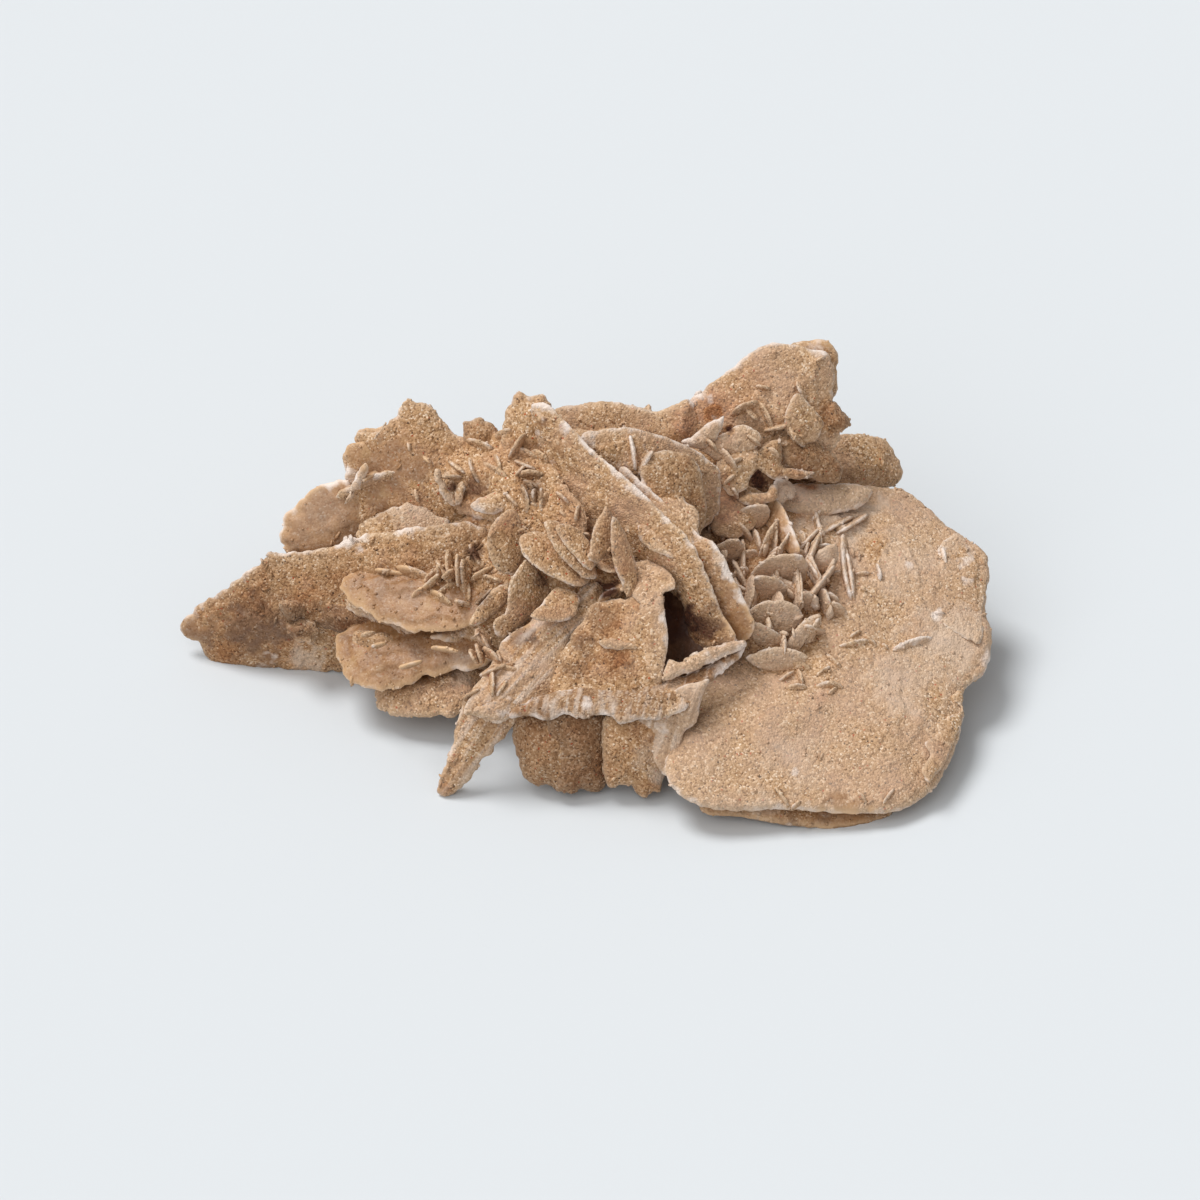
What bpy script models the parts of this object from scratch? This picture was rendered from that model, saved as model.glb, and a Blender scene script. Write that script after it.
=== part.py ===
"""Gypsum sand rose: lens-shaped blades that grew through one another in wet sand, fused into one piece.

Lengths in the tables are millimetres. The rose is laid out on its show face, the side that looks out and up
at SHOW_TILT. The show face has its own three directions, right, up and near (towards the eye), counted from
its middle, and a blade is listed by the rim that it shows there.
"""

import math
from collections import namedtuple

import bmesh
import bpy
import numpy as np
from mathutils import Matrix, Vector

MM = 0.001
SHOW_TILT = math.radians(40)        # the show face's sight line above the ground
SHOW_DISTANCE = 1200.0              # from the eye to the show face's middle
SHOW_HEIGHT = 22.0                  # from the ground to the show face's middle
SHOW_FOOT = (2.27, -9.34)           # the ground under that middle, from the middle of the rose's box
SAND_COLOUR = (0.42, 0.27, 0.155)   # linear colour of the sandy gypsum
SHOULDER_SHARE = 0.8                # a blade keeps its thickness out to this share of its width
SHOULDER_HEIGHT = 0.72              # its thickness there, as a share of the middle's
SMALL_RIM = 7                       # a face with no more points than this is a plain double cone
FIN_SIDES = 8
FIN_LEAN = math.radians(28)         # how far a small blade leans over from its seat
FIN_THICKNESS = 1.5
FIN_RISE = 0.6                      # its half width, as a share of its half length
FIN_ROOT = 0.8                      # and this much more
FLOOR_WIDTH = 300.0
FLOOR_DEPTH = 30.0
CRUMB_VOLUME = 1e-9                 # cubic metres
FAN_BLADES = 11                     # upright blades around the far side

# A blade whose face shows: its rim as (right, up) points, how near its middle is, how much nearer it gets for
# each millimetre to the right and up, and its thickness in the middle.
Face = namedtuple("Face", "rim near right up thick")
# A blade on a side that the show face hides: its middle (x, y, z) from the ground under the show face's
# middle, the way it faces, the way its length runs, half its length and width, and its middle's thickness.
Hidden = namedtuple("Hidden", "middle facing along half_length half_width thick")
# Small blades that stand in a crowd on a seat: the seat's middle and slopes as for a face, and each blade's
# two ends (right, up, right, up) with the side that it leans to.
Crowd = namedtuple("Crowd", "middle near right up fins")

FACES = {
    # The big plate that faces up on the right, and the thinner layer under its front edge.
    "right_plate": Face(
        [(26, 16), (31.5, 17), (39, 17), (45, 16.5), (49, 14), (53, 10.5), (57, 8), (58.5, 5), (58, -1.5),
         (59, -5.5), (58, -10.5), (54.5, -14), (54.5, -18.5), (52.5, -24.5), (49, -29.5), (43.5, -32),
         (36, -32), (25.5, -31.5), (15.5, -31), (10, -27), (9, -21), (7.5, -13.5), (9, -1.5), (15, 10.5)],
        near=-7.5, right=-0.14, up=-0.64, thick=5.5),
    "plate_under_layer": Face(
        [(15, -31.5), (18, -32.5), (22.5, -33), (28.5, -34), (36, -34.5), (40, -34), (44, -32), (42, -24),
         (27, -21), (15, -25.5)],
        near=4.4, right=-0.14, up=-0.64, thick=3.5),
    "rosette_seat": Face(
        [(15.5, 10.5), (20, 14.5), (28.5, 15.5), (37, 12), (38.5, 1.5), (35.5, -7.5), (27, -12), (20, -7.5),
         (16, 1.5)],
        near=-11.5, right=-0.14, up=-0.64, thick=6),
    # The steep blade that crosses the crown, with a second one close behind it.
    "crown_blade": Face(
        [(-10.5, 29), (-8, 29), (-5.5, 27), (-1.5, 23), (4, 19), (7.5, 14.5), (11, 11.5), (15, 8), (17, 2),
         (18.5, -2), (20.5, -6), (15, -12), (6, -9), (-1.5, 0), (-7.5, 10.5), (-10, 21)],
        near=0, right=0.73, up=0.47, thick=3.6),
    "crown_second": Face(
        [(3, 20), (7, 17), (11, 13.5), (15, 9.5), (17, 7), (19.5, 2.5), (22, -1.5), (23, -4), (22, -6),
         (18.5, -7), (13.5, -3), (7.5, 6), (3, 13.5)],
        near=1, right=0.73, up=0.47, thick=2.6),
    # The long wing that points left, and the three petals that stand out in front of it.
    "left_wing": Face(
        [(-63, -3.5), (-62, -2), (-59, 0.5), (-54, 4), (-49.5, 6.5), (-42, 8), (-33, 9.5), (-24, 11),
         (-16.5, 10), (-13.5, 3), (-15, -6), (-24, -10), (-39, -11), (-48, -11), (-56, -10), (-59, -8.5),
         (-60, -6.5), (-62.5, -5.5)],
        near=-15.6, right=0.22, up=0.39, thick=5),
    "petal_upper": Face(
        [(-39.5, 2), (-38, 3.5), (-30, 6), (-19.5, 6), (-14, 1.5), (-16, -2.5), (-20, -4.5), (-24, -5),
         (-27.5, -5), (-31, -4), (-34.5, -2.5), (-38, 0)],
        near=-5.8, right=0.24, up=-0.63, thick=3),
    "petal_lower": Face(
        [(-39.5, -8), (-38, -5), (-33, -2), (-22.5, -1.5), (-15, -5), (-16, -9.5), (-21, -11), (-26, -11.5),
         (-29, -13), (-33, -14), (-36.5, -13), (-38.5, -11)],
        near=-7.1, right=0.24, up=-0.63, thick=3.5),
    "petal_bottom": Face(
        [(-34, -15), (-33, -12.5), (-27, -10), (-18, -9), (-16.5, -15), (-20, -17), (-24.5, -17.5),
         (-29, -17.5), (-32.5, -17)],
        near=-7.8, right=0.2, up=-0.6, thick=4),
    # Upright blades along the back on the left.
    "back_left_blade": Face(
        [(-38, 18), (-38.5, 22), (-36.5, 23.5), (-36.5, 25.5), (-33, 26), (-30, 29), (-29, 30.5), (-26, 29.5),
         (-23, 27), (-21.5, 25), (-15, 22.5), (-13.5, 13.5), (-22.5, 7.5), (-33, 7.5), (-37.5, 12)],
        near=-9.5, right=0.1, up=0.17, thick=4.5),
    "left_lobe": Face(
        [(-48, 10), (-47.5, 12.5), (-45.5, 15), (-42.5, 17), (-38, 18.5), (-33, 16.5), (-31.5, 10.5),
         (-37.5, 5), (-45, 6), (-47.5, 7.5)],
        near=-14, right=0.1, up=0.2, thick=3),
    "sandy_slope": Face(
        [(-20, 22), (-15, 25), (-10, 27), (-5.5, 22), (0.5, 15), (2.5, 10.5), (-4, 6), (-12, 8),
         (-18, 10.5), (-22, 15)],
        near=-4, right=0, up=-0.1, thick=7),
    "cluster_seat": Face(
        [(-25, 6), (-22.5, 10.5), (-16.5, 14), (-6, 14), (1.5, 10.5), (7, 3), (3, -3), (-6, -4.5),
         (-12, -7.5), (-19.5, -6), (-24, -1.5)],
        near=-4, right=0.15, up=-0.1, thick=10),
    "seat_under_petals": Face(
        [(-35, -6), (-30, -1), (-20, 2), (-10, -2), (-8, -10), (-14, -14.5), (-25, -15.5), (-33, -13)],
        near=-12.5, right=0.2, up=-0.3, thick=9),
    "low_dome": Face(
        [(-34, 12), (-32.5, 13.5), (-31, 14), (-28.5, 14.5), (-26, 14), (-22.5, 12), (-22, 9.5), (-27, 8),
         (-32, 9)],
        near=-6.5, right=0, up=-0.5, thick=3),
    "small_back_blade": Face(
        [(-20.5, 26.5), (-19.5, 27), (-18, 27.5), (-16.5, 27), (-15, 25), (-15.5, 20.5), (-20, 22)],
        near=-9, right=0, up=0.1, thick=3),
    "peak_blade": Face(
        [(-15, 25.5), (-14.5, 28), (-13, 31), (-10.5, 31.5), (-8, 30.5), (-7, 28), (-8, 22), (-14, 21.5)],
        near=-5, right=0.1, up=0.1, thick=3.5),
    # Upright blades and knobs along the back on the right.
    "back_ridge": Face(
        [(-7, 28.5), (-3, 29.5), (1.5, 30), (6, 29), (9, 28.5), (13.5, 30), (15, 24), (6, 19.5), (-6, 22.5)],
        near=-13, right=-0.1, up=0.2, thick=4),
    "crescent": Face(
        [(-3, 24.5), (0, 25.5), (4, 26), (8, 25), (12.5, 23.5), (16, 21.5), (18, 19), (17, 12), (9, 9),
         (0, 16.5)],
        near=-4, right=-0.25, up=0.3, thick=3.5),
    "bowl_blade": Face(
        [(6, 18.5), (7.5, 22), (11, 22.5), (14, 21.5), (15.5, 18), (16, 12), (13.5, 8), (7.5, 10.5)],
        near=-1, right=-0.2, up=0.1, thick=3.5),
    "seat_behind_crown": Face(
        [(-8, 24), (2, 26), (12, 24.5), (22, 26), (31, 25), (35, 20), (30, 15), (18, 11), (8, 10), (0, 15)],
        near=-12, right=-0.2, up=0, thick=11),
    "step_blade": Face(
        [(6, 16), (10.5, 16.5), (14.5, 14), (15, 10), (13.5, 6), (6, 9)],
        near=1.5, right=0, up=-0.5, thick=2.5),
    "top_right_blade": Face(
        [(11, 27.5), (13.5, 30), (18.5, 34), (21.5, 36.5), (25, 38.5), (29, 38.5), (34, 39), (35.5, 37),
         (35.5, 33.5), (35, 30), (36, 24), (30, 19.5), (18, 19.5), (12, 22.5)],
        near=-14.3, right=0, up=0.15, thick=4.5),
    "right_tongue": Face(
        [(27.5, 21.5), (32, 24), (37.5, 25), (42, 24.5), (44.5, 22), (45.5, 19), (44, 17), (37.5, 15),
         (28.5, 16.5)],
        near=-28, right=-0.4, up=0.1, thick=5),
    "nodule": Face(
        [(33.5, 29), (35, 30), (36.5, 28.5), (37.5, 27.5), (37.5, 26), (36, 25), (33.5, 25.5)],
        near=-15, right=0, up=0, thick=5),
    "nodule_disc": Face(
        [(29.5, 31), (32, 29), (33.5, 27), (33.5, 25.5), (32, 23.5), (29, 23.5), (27.5, 27)],
        near=-12, right=-0.2, up=0.2, thick=2.5),
    "triangle_blade": Face(
        [(12, 23), (15, 25.5), (18.5, 27.5), (18, 25), (17, 23), (14, 21.5)],
        near=-8, right=0, up=0.3, thick=3),
    "knobs": Face(
        [(17, 19.5), (18, 23.5), (21, 26), (25, 24.5), (27.5, 22), (28, 18), (26, 15), (20.5, 15),
         (17.5, 16.5)],
        near=-14, right=-0.2, up=-0.2, thick=8),
    # Blades of the front, which fold down to the ground.
    "striped_blade": Face(
        [(-20, -17), (-18, -17.5), (-15.5, -18.5), (-13, -17), (-10, -14), (-7, -10), (-2, -5), (1.5, 0),
         (-1.5, 3), (-6, 1), (-8, -2), (-12, -3), (-14.5, -6), (-17, -10.5), (-19.5, -14)],
        near=3.5, right=-0.15, up=-0.25, thick=3),
    "spike": Face(
        [(-24.5, -28.5), (-24, -26.5), (-22.5, -22), (-21.5, -18.5), (-20, -14), (-15, -13.5), (-11.5, -16),
         (-14, -20), (-17.5, -24), (-20, -27.5), (-22, -29), (-23.5, -29.5)],
        near=2.6, right=0, up=0.28, thick=3),
    "front_face": Face(
        [(-6.5, -16), (-7, -12), (-5, -7.5), (-2.5, -3), (0, 0.5), (6, 1), (9, 0.5), (10, -6), (9, -12.5),
         (3, -15)],
        near=5, right=0.1, up=-0.1, thick=4),
    "ledge": Face(
        [(-6.5, -16), (-1.5, -15.5), (4, -14), (9, -12.5), (13.5, -11.5), (18, -9.5), (22, -7), (20, -6),
         (15, -6), (6, -6), (-3, -10.5)],
        near=5.8, right=0, up=-0.8, thick=2.5),
    "front_fold": Face(
        [(0, -17), (6, -15), (13.5, -13.5), (17, -12), (15.5, -15), (15, -18.5), (12.5, -20), (12, -23),
         (10, -26), (8, -25), (7, -21), (1.5, -18.5)],
        near=6, right=0, up=0.1, thick=3.5),
    "front_foot": Face(
        [(-13, -18.5), (-13, -22.5), (-11, -26.5), (-8, -28), (-4, -29), (-1, -29), (2, -28), (4.5, -28),
         (7, -30), (9, -29), (9.5, -25.5), (10.5, -18), (6, -13.5), (-2, -9), (-12, -11), (-15, -15.5)],
        near=2.5, right=0, up=0.25, thick=7),
    "oval_blade": Face(
        [(-16, 11.5), (-14, 13), (-12, 13), (-11, 10.5), (-11, 6), (-13, 3.5), (-15.5, 4.5), (-17, 7),
         (-17, 9.5)],
        near=-2, right=0.6, up=0.2, thick=2.5),
}

CROWDS = {
    "rosette": Crowd((27, 2), near=-6.5, right=-0.14, up=-0.64, fins=[
        (22.8, 14.6, 30, 6.6, 1), (27, 13, 24.4, 6, -1), (32.6, 14.8, 33, 9.6, 1),
        (30.8, 8.8, 39.2, 13.2, -1), (35.4, 11, 40.2, 12.8, -1), (36, 10.4, 37.8, 0.6, 1),
        (23.6, 5.2, 30.8, 6.4, 1), (30, 6.6, 34.2, 2.6, 1), (34.8, 6, 30.8, 1.2, -1),
        (29.4, 5.2, 29.8, -0.4, -1), (23, 3.2, 22, -1.8, -1), (23.6, 3, 29.4, 0.4, 1),
        (21.8, -2.4, 29.6, -0.8, 1), (33, 2.2, 34.8, -1.8, 1), (24, -3, 28, -6.4, 1),
        (22.4, -7.8, 30.4, -8.4, -1), (16.8, 12, 20.6, 8, 1), (19, 13.6, 18.4, 8, -1),
        (20, 6, 22.2, 1.2, 1), (17.4, 8.8, 21.2, 5.6, 1), (28.4, -2.2, 34, -6.4, 1),
        (30.6, -2, 36.4, 0, -1), (25.8, 6, 26.4, -0.4, -1), (32.2, 5.6, 37.6, 6.4, 1)]),
    "crown_cluster": Crowd((-7, 4), near=2.5, right=0.2, up=-0.1, fins=[
        (-12, 6.8, -2.6, 1.6, 1), (-7.8, 10.4, -1.6, 3.4, 1), (-5.6, 10, -0.4, 3.6, 1),
        (0.8, 14.4, -1.2, 5.6, -1), (1.6, 11.4, 4.2, 0.6, 1), (-11.4, 6.6, -14.2, -5.4, -1),
        (-13.8, 2.6, -19.2, -4, -1), (-10.4, -1.8, -7.2, 0.8, 1), (-21.8, -0.4, -19.6, 6, -1),
        (-19.6, 1.2, -16.2, 5.4, -1), (-21.2, 4, -17.6, -0.4, 1), (-3.6, 12.2, -6, 5.6, -1),
        (0, 6, 3.2, -0.4, 1), (-2, 6, 0.2, -0.4, 1), (-8.2, 6, -6.6, -0.4, -1), (6.2, 8.2, 3.6, 1.2, -1)]),
    "back_left_chips": Crowd((-28, 18), near=-6.5, right=0.1, up=0.17, fins=[
        (-38, 14, -35, 20.4, -1), (-33.6, 18.4, -34.2, 22.2, 1), (-24.6, 19.8, -22.8, 15, 1),
        (-25.6, 17.4, -23, 13.2, 1), (-22.4, 19.6, -18.8, 18, 1), (-30, 19.6, -28, 15, -1)]),
    "plate_chips": Crowd((34, -8), near=-5, right=-0.14, up=-0.64, fins=[
        (44.2, -6.8, 49.6, -5, -1), (42, 6.4, 41.6, 3.6, 1), (35.6, -4.6, 40.6, -6.8, 1),
        (27.2, -10.8, 30.8, -13.6, 1), (30, -10.2, 34, -12.6, -1), (32.6, -13.6, 36.4, -12.2, 1),
        (26.2, -28.4, 28.8, -30.6, -1), (38.2, -30, 40.8, -28.4, 1)]),
    "petal_chips": Crowd((-27, 0), near=-3.8, right=0.24, up=-0.63, fins=[
        (-30.4, 5.2, -25.2, 3.2, 1), (-24.6, 6, -22.4, 2, -1), (-25.6, 1.2, -22.2, -0.8, -1)]),
    "knob_blades": Crowd((21, 22), near=-8.5, right=-0.3, up=0, fins=[
        (6, 24.4, 5.2, 18.6, 1), (6.8, 22.4, 6.4, 18.4, -1), (18, 23, 22.2, 19.6, -1),
        (22.2, 25.2, 25.6, 22.2, 1), (25.6, 18, 28, 20.8, -1), (21.2, 15, 24, 17, 1),
        (17.4, 15, 19.6, 18, -1)]),
    "top_right_chips": Crowd((25, 30), near=-12, right=0, up=0.15, fins=[
        (28.4, 25.8, 30.8, 23, 1), (25.6, 29.6, 27.2, 26.4, -1), (21.8, 29.4, 24, 27.6, 1),
        (25, 25, 28, 26, -1), (29.5, 33, 31, 30, 1), (20.5, 33, 23, 31, -1)]),
}

HIDDEN = {
    # Thick lenses that the other blades grew out of, low in the middle.
    "middle_lens": Hidden((-4, 16.5, 14), (0, -0.1, 1), (1, 0, 0), 38, 19, 17),
    "lens_under_plate": Hidden((22, 10.5, 9), (0.12, -0.3, 0.95), (1, 0, 0.1), 25, 22, 10),
    # Blades of the far side. The lowest two reach the ground.
    "back_foot_left": Hidden((-16, 32.5, 11), (0.25, 1, 0.15), (1, -0.2, 0), 21, 14, 6),
    "back_foot_right": Hidden((14, 34.5, 11), (-0.35, 1, 0.2), (1, 0.3, 0), 18, 13, 6),
    "back_shelf": Hidden((2, 33.5, 19), (0, 0.55, 0.85), (1, 0, 0), 28, 12, 7),
    "back_lean_left": Hidden((-28, 26.5, 21), (-0.3, 0.85, 0.5), (1, 0.3, 0.1), 17, 13, 5),
    "back_lean_right": Hidden((22, 36, 23), (0.2, 0.8, 0.6), (1, -0.2, 0), 15, 11, 5),
}


def to_object(right, up, near):
    """Turns a place on the show face into the rose's own frame."""
    lift, reach = math.sin(SHOW_TILT), math.cos(SHOW_TILT)
    x, y = SHOW_FOOT
    z = SHOW_HEIGHT
    return Vector((x + right, y + up * lift - near * reach, z + up * reach + near * lift))


def on_sight_line(right, up, middle, face):
    """Where the sight line through (right, up) meets a face's plane, in the rose's own frame."""
    ahead = face.near + face.right * (right - middle[0]) + face.up * (up - middle[1])
    near = ahead / (1 + (face.right * right + face.up * up) / SHOW_DISTANCE)
    spread = 1 - near / SHOW_DISTANCE
    return to_object(right * spread, up * spread, near)


def add_lens(name, rim, thick, rings):
    """Makes one blade from its rim: thick in the middle, with its edge on the rim."""
    middle = sum(rim, Vector()) / len(rim)
    spread = np.array([point - middle for point in rim])
    normal = Vector(np.linalg.svd(spread)[2][2])
    mesh = bpy.data.meshes.new(name)
    shape = bmesh.new()
    bmesh.ops.create_uvsphere(shape, u_segments=len(rim), v_segments=rings, radius=1.0)
    for vert in shape.verts:
        turn = math.atan2(vert.co.y, vert.co.x) / math.tau
        edge = rim[round(turn * len(rim)) % len(rim)]
        side = math.copysign(thick / 2, vert.co.z)
        if abs(vert.co.z) > 0.99:
            vert.co = middle + normal * side
        elif abs(vert.co.z) > 0.1:
            vert.co = middle.lerp(edge, SHOULDER_SHARE) + normal * side * SHOULDER_HEIGHT
        else:
            vert.co = edge
    bmesh.ops.recalc_face_normals(shape, faces=shape.faces)
    shape.transform(Matrix.Scale(MM, 4))
    shape.to_mesh(mesh)
    shape.free()
    return bpy.data.objects.new(name, mesh)


def ellipse(middle, along, across, sides):
    """Points around an ellipse with these two half axes."""
    turns = [math.tau * side / sides for side in range(sides)]
    return [middle + along * math.cos(turn) + across * math.sin(turn) for turn in turns]


def face_blade(name, face):
    middle = np.mean(face.rim, axis=0)
    rim = [on_sight_line(right, up, middle, face) for right, up in face.rim]
    return add_lens(name, rim, face.thick, rings=4 if len(rim) > SMALL_RIM else 2)


def hidden_blade(name, blade):
    normal = Vector(blade.facing).normalized()
    across = normal.cross(Vector(blade.along)).normalized()
    along = across.cross(normal) * blade.half_length
    sides = 2 * FIN_SIDES
    middle = Vector(blade.middle) + Vector((*SHOW_FOOT, 0))
    rim = ellipse(middle, along, across * blade.half_width, sides)
    return add_lens(name, rim, blade.thick, rings=4)


def crowd_blades(name, crowd):
    """The crowd's small blades: each stands on the seat on its long axis and leans to its side."""
    outward = Vector((-crowd.right, -crowd.up, 1)).normalized()
    outward = to_object(*outward) - to_object(0, 0, 0)
    for number, (right_a, up_a, right_b, up_b, side) in enumerate(crowd.fins, start=1):
        start = on_sight_line(right_a, up_a, crowd.middle, crowd)
        end = on_sight_line(right_b, up_b, crowd.middle, crowd)
        along = (end - start) / 2
        lean = Matrix.Rotation(side * FIN_LEAN, 3, along)
        rise = (lean @ outward) * (FIN_RISE * along.length + FIN_ROOT)
        rim = ellipse((start + end) / 2, along, rise, FIN_SIDES)
        yield add_lens(f"{name}_{number:02d}", rim, FIN_THICKNESS, rings=2)


def fan_blades():
    """The blades of the far side: they stand in a fan and lean by turns to the left and the right."""
    for number in range(FAN_BLADES):
        turn = math.radians(-75 + 150 * number / (FAN_BLADES - 1))
        lean = math.radians(24 if number % 2 else -20)
        middle = (30 * math.sin(turn) - 2, 23 + 15 * math.cos(turn), 11 + 3 * math.cos(2.1 * number))
        facing = (math.cos(turn + lean), -math.sin(turn + lean), 0.25 * math.sin(1.7 * number))
        upright = (0.5 * math.sin(turn), 0.5 * math.cos(turn), 1)
        half_length = 11 + 2 * math.sin(1.3 * number)
        blade = Hidden(middle, facing, upright, half_length, 8, 2.8)
        yield hidden_blade(f"fan_blade_{number + 1:02d}", blade)


def floor_cutter():
    """A block from the ground down. It cuts the lowest rims off flat, and those are the feet."""
    shape = bmesh.new()
    bmesh.ops.create_cube(shape, size=1.0)
    bmesh.ops.translate(shape, verts=shape.verts, vec=(0, 0, -0.5))
    bmesh.ops.scale(shape, verts=shape.verts, vec=Vector((FLOOR_WIDTH, FLOOR_WIDTH, FLOOR_DEPTH)) * MM)
    mesh = bpy.data.meshes.new("floor_cutter")
    shape.to_mesh(mesh)
    shape.free()
    return bpy.data.objects.new("floor_cutter", mesh)


def gypsum():
    material = bpy.data.materials.new("sandy_gypsum")
    material.use_nodes = True
    surface = material.node_tree.nodes["Principled BSDF"]
    surface.inputs["Base Color"].default_value = (*SAND_COLOUR, 1)
    surface.inputs["Roughness"].default_value = 0.85
    surface.inputs["Metallic"].default_value = 0.0
    return material


def part_islands(shape):
    """The separate closed surfaces in a mesh, each as a list of its faces."""
    left = set(shape.faces)
    while left:
        island = [left.pop()]
        for face in island:
            touching = {other for edge in face.edges for other in edge.link_faces} & left
            left -= touching
            island.extend(touching)
        yield island


def enclosed(island):
    """Signed volume inside one closed surface: below zero for the wall of a sealed hollow."""
    total = 0.0
    for face in island:
        first, *others = [vert.co for vert in face.verts]
        for second, third in zip(others, others[1:]):
            total += first.dot(second.cross(third)) / 6
    return total


def fill_sealed_hollows(mesh):
    """Removes the walls of hollows that no opening reaches, and crumbs that touch nothing."""
    shape = bmesh.new()
    shape.from_mesh(mesh)
    islands = list(part_islands(shape))
    whole = max(islands, key=enclosed)
    islands.remove(whole)
    loose = [island[0] for island in islands if enclosed(island) > CRUMB_VOLUME]
    if loose:
        places = [[round(value / MM) for value in face.calc_center_median()] for face in loose]
        raise ValueError(f"the blades at {places} mm touch no others")
    for island in islands:
        bmesh.ops.delete(shape, geom=island, context="FACES")
    shape.to_mesh(mesh)
    shape.free()


def main():
    for item in list(bpy.data.objects):
        bpy.data.objects.remove(item)
    parts = bpy.data.collections.new("gypsum_sand_rose")
    blades = bpy.data.collections.new("blades_to_join")
    cutters = bpy.data.collections.new("cutters")
    for collection in (parts, blades, cutters):
        bpy.context.scene.collection.children.link(collection)

    trunk = None
    for name, blade in HIDDEN.items():
        made = hidden_blade(name, blade)
        if trunk is None:
            trunk = made
        else:
            blades.objects.link(made)
    for name, face in FACES.items():
        blades.objects.link(face_blade(name, face))
    for name, crowd in CROWDS.items():
        for made in crowd_blades(name, crowd):
            blades.objects.link(made)
    for made in fan_blades():
        blades.objects.link(made)
    cutters.objects.link(floor_cutter())
    for helper in [*blades.objects, *cutters.objects]:
        helper.hide_render = True
        helper.display_type = "WIRE"

    trunk.name = "fused_blades"
    cutters.objects.link(trunk)
    join = trunk.modifiers.new("grown_together", "BOOLEAN")
    join.operation = "UNION"
    join.operand_type = "COLLECTION"
    join.collection = blades
    join.solver = "EXACT"
    flat = trunk.modifiers.new("feet", "BOOLEAN")
    flat.operation = "DIFFERENCE"
    flat.object = cutters.objects["floor_cutter"]
    flat.solver = "EXACT"
    trunk.hide_render = True
    trunk.display_type = "WIRE"

    graph = bpy.context.evaluated_depsgraph_get()
    mesh = bpy.data.meshes.new_from_object(trunk.evaluated_get(graph))
    fill_sealed_hollows(mesh)
    mesh.materials.clear()
    mesh.materials.append(gypsum())
    rose = bpy.data.objects.new("sand_rose", mesh)
    parts.objects.link(rose)


main()
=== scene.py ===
"""The looks of a gypsum sand rose: lens-shaped blades of gypsum that grew through one another in wet sand.

The rose is laid out on its show face, the side that looks out and up at SHOW_TILT. A place on it is given in
millimetres as right, up and near (towards the eye), counted from its middle.
"""

import math
from collections import namedtuple
from functools import partial

import bmesh
import bpy
import numpy as np
from mathutils import Matrix, Vector
from mathutils.geometry import delaunay_2d_cdt
from mathutils.bvhtree import BVHTree
from mathutils.kdtree import KDTree


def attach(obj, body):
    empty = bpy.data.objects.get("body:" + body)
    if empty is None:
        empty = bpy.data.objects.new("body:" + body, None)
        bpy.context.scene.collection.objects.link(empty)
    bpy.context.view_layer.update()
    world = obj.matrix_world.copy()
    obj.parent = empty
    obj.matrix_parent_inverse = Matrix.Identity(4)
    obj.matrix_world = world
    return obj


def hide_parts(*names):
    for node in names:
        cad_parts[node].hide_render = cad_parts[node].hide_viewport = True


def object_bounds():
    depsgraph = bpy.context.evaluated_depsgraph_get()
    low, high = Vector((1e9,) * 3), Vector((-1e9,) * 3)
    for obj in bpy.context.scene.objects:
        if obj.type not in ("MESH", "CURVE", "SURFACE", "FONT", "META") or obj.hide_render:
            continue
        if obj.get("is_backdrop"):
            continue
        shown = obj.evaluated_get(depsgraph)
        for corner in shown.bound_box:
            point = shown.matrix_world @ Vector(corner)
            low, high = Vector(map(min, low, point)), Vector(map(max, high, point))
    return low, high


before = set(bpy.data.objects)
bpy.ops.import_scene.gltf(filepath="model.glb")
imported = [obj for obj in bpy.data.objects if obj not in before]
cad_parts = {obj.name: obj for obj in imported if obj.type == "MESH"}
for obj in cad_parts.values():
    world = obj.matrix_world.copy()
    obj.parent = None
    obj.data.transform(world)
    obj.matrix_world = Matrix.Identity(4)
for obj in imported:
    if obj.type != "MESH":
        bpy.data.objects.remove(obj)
cad_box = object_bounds()


# ---- The broad plate -------------------------------------------------------------------------------------
# The largest blade lies nearly flat on the right: one wide lens of gypsum, dusted with pale sand. Its rim
# grew in thin wavy steps, a thinner honey-coloured layer shows under its front edge, and short chips of
# later growth stand on it.

MM = 0.001
SHOW_TILT = math.radians(40)        # the show face's sight line above the ground
SHOW_DISTANCE = 1200.0              # from the eye to the show face's middle
SHOW_HEIGHT = 22.0                  # from the ground to the show face's middle
SHOW_FOOT = Vector((2.27, -9.34, 0))  # the ground under that middle
RIM_STEP = 0.34                     # between the points of a blade's mesh
RIM_HALF = 0.2                      # half the thickness of a blade's blunt rim
FIN_SPACING = 0.3                   # the same step on the small late blades
FIN_ROOT = 1.7                      # how deep a small blade is rooted, as a share of the height it stands
FIN_THICK = 0.6                     # a small blade's thickness
FIN_THICKENING = 0.12               # what each millimetre of its half length adds to that
FIN_BEND = 0.05                     # how far a small blade bends, as a share of its half length
STREWN_HALF = (0.9, 2.4)            # half the length of a small blade strewn at random
STREWN_LEAN = 35                    # how far it may lean either way, in degrees
STREWN_STAND = 0.6                  # how high it stands
STREWN_RISE = 0.45                  # what each millimetre of its half length adds to that
FOOTING_REACH = 3.5                 # how far from its crowd's plane a small blade looks for ground
LOBE_WIDTH, LOBE_DEPTH = 2.6, 0.55  # the lobes that a rim grew in
STEP_HEIGHT, STEP_SLOPE = 0.35, 0.2  # one growth step, and the width over which it falls
STEP_REACH = 9.0                    # how far a growth step runs before it fades out
WARP_SIZE, WARP_HEIGHT = 11.0, 0.45  # how far a blade strays from flat
LUMP_SIZE, LUMP_HEIGHT = 3.4, 0.4   # the lumps of sand on a blade's faces
RIM_FADE = 0.45                     # how far in from a rim the rim's own look fades
RELIEF_START = 1.2                  # how far in from a rim its lumps and steps reach full height
FLOOR_WIDTH, FLOOR_DEPTH = 300.0, 30.0  # the block that cuts the lowest rims off flat

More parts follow.
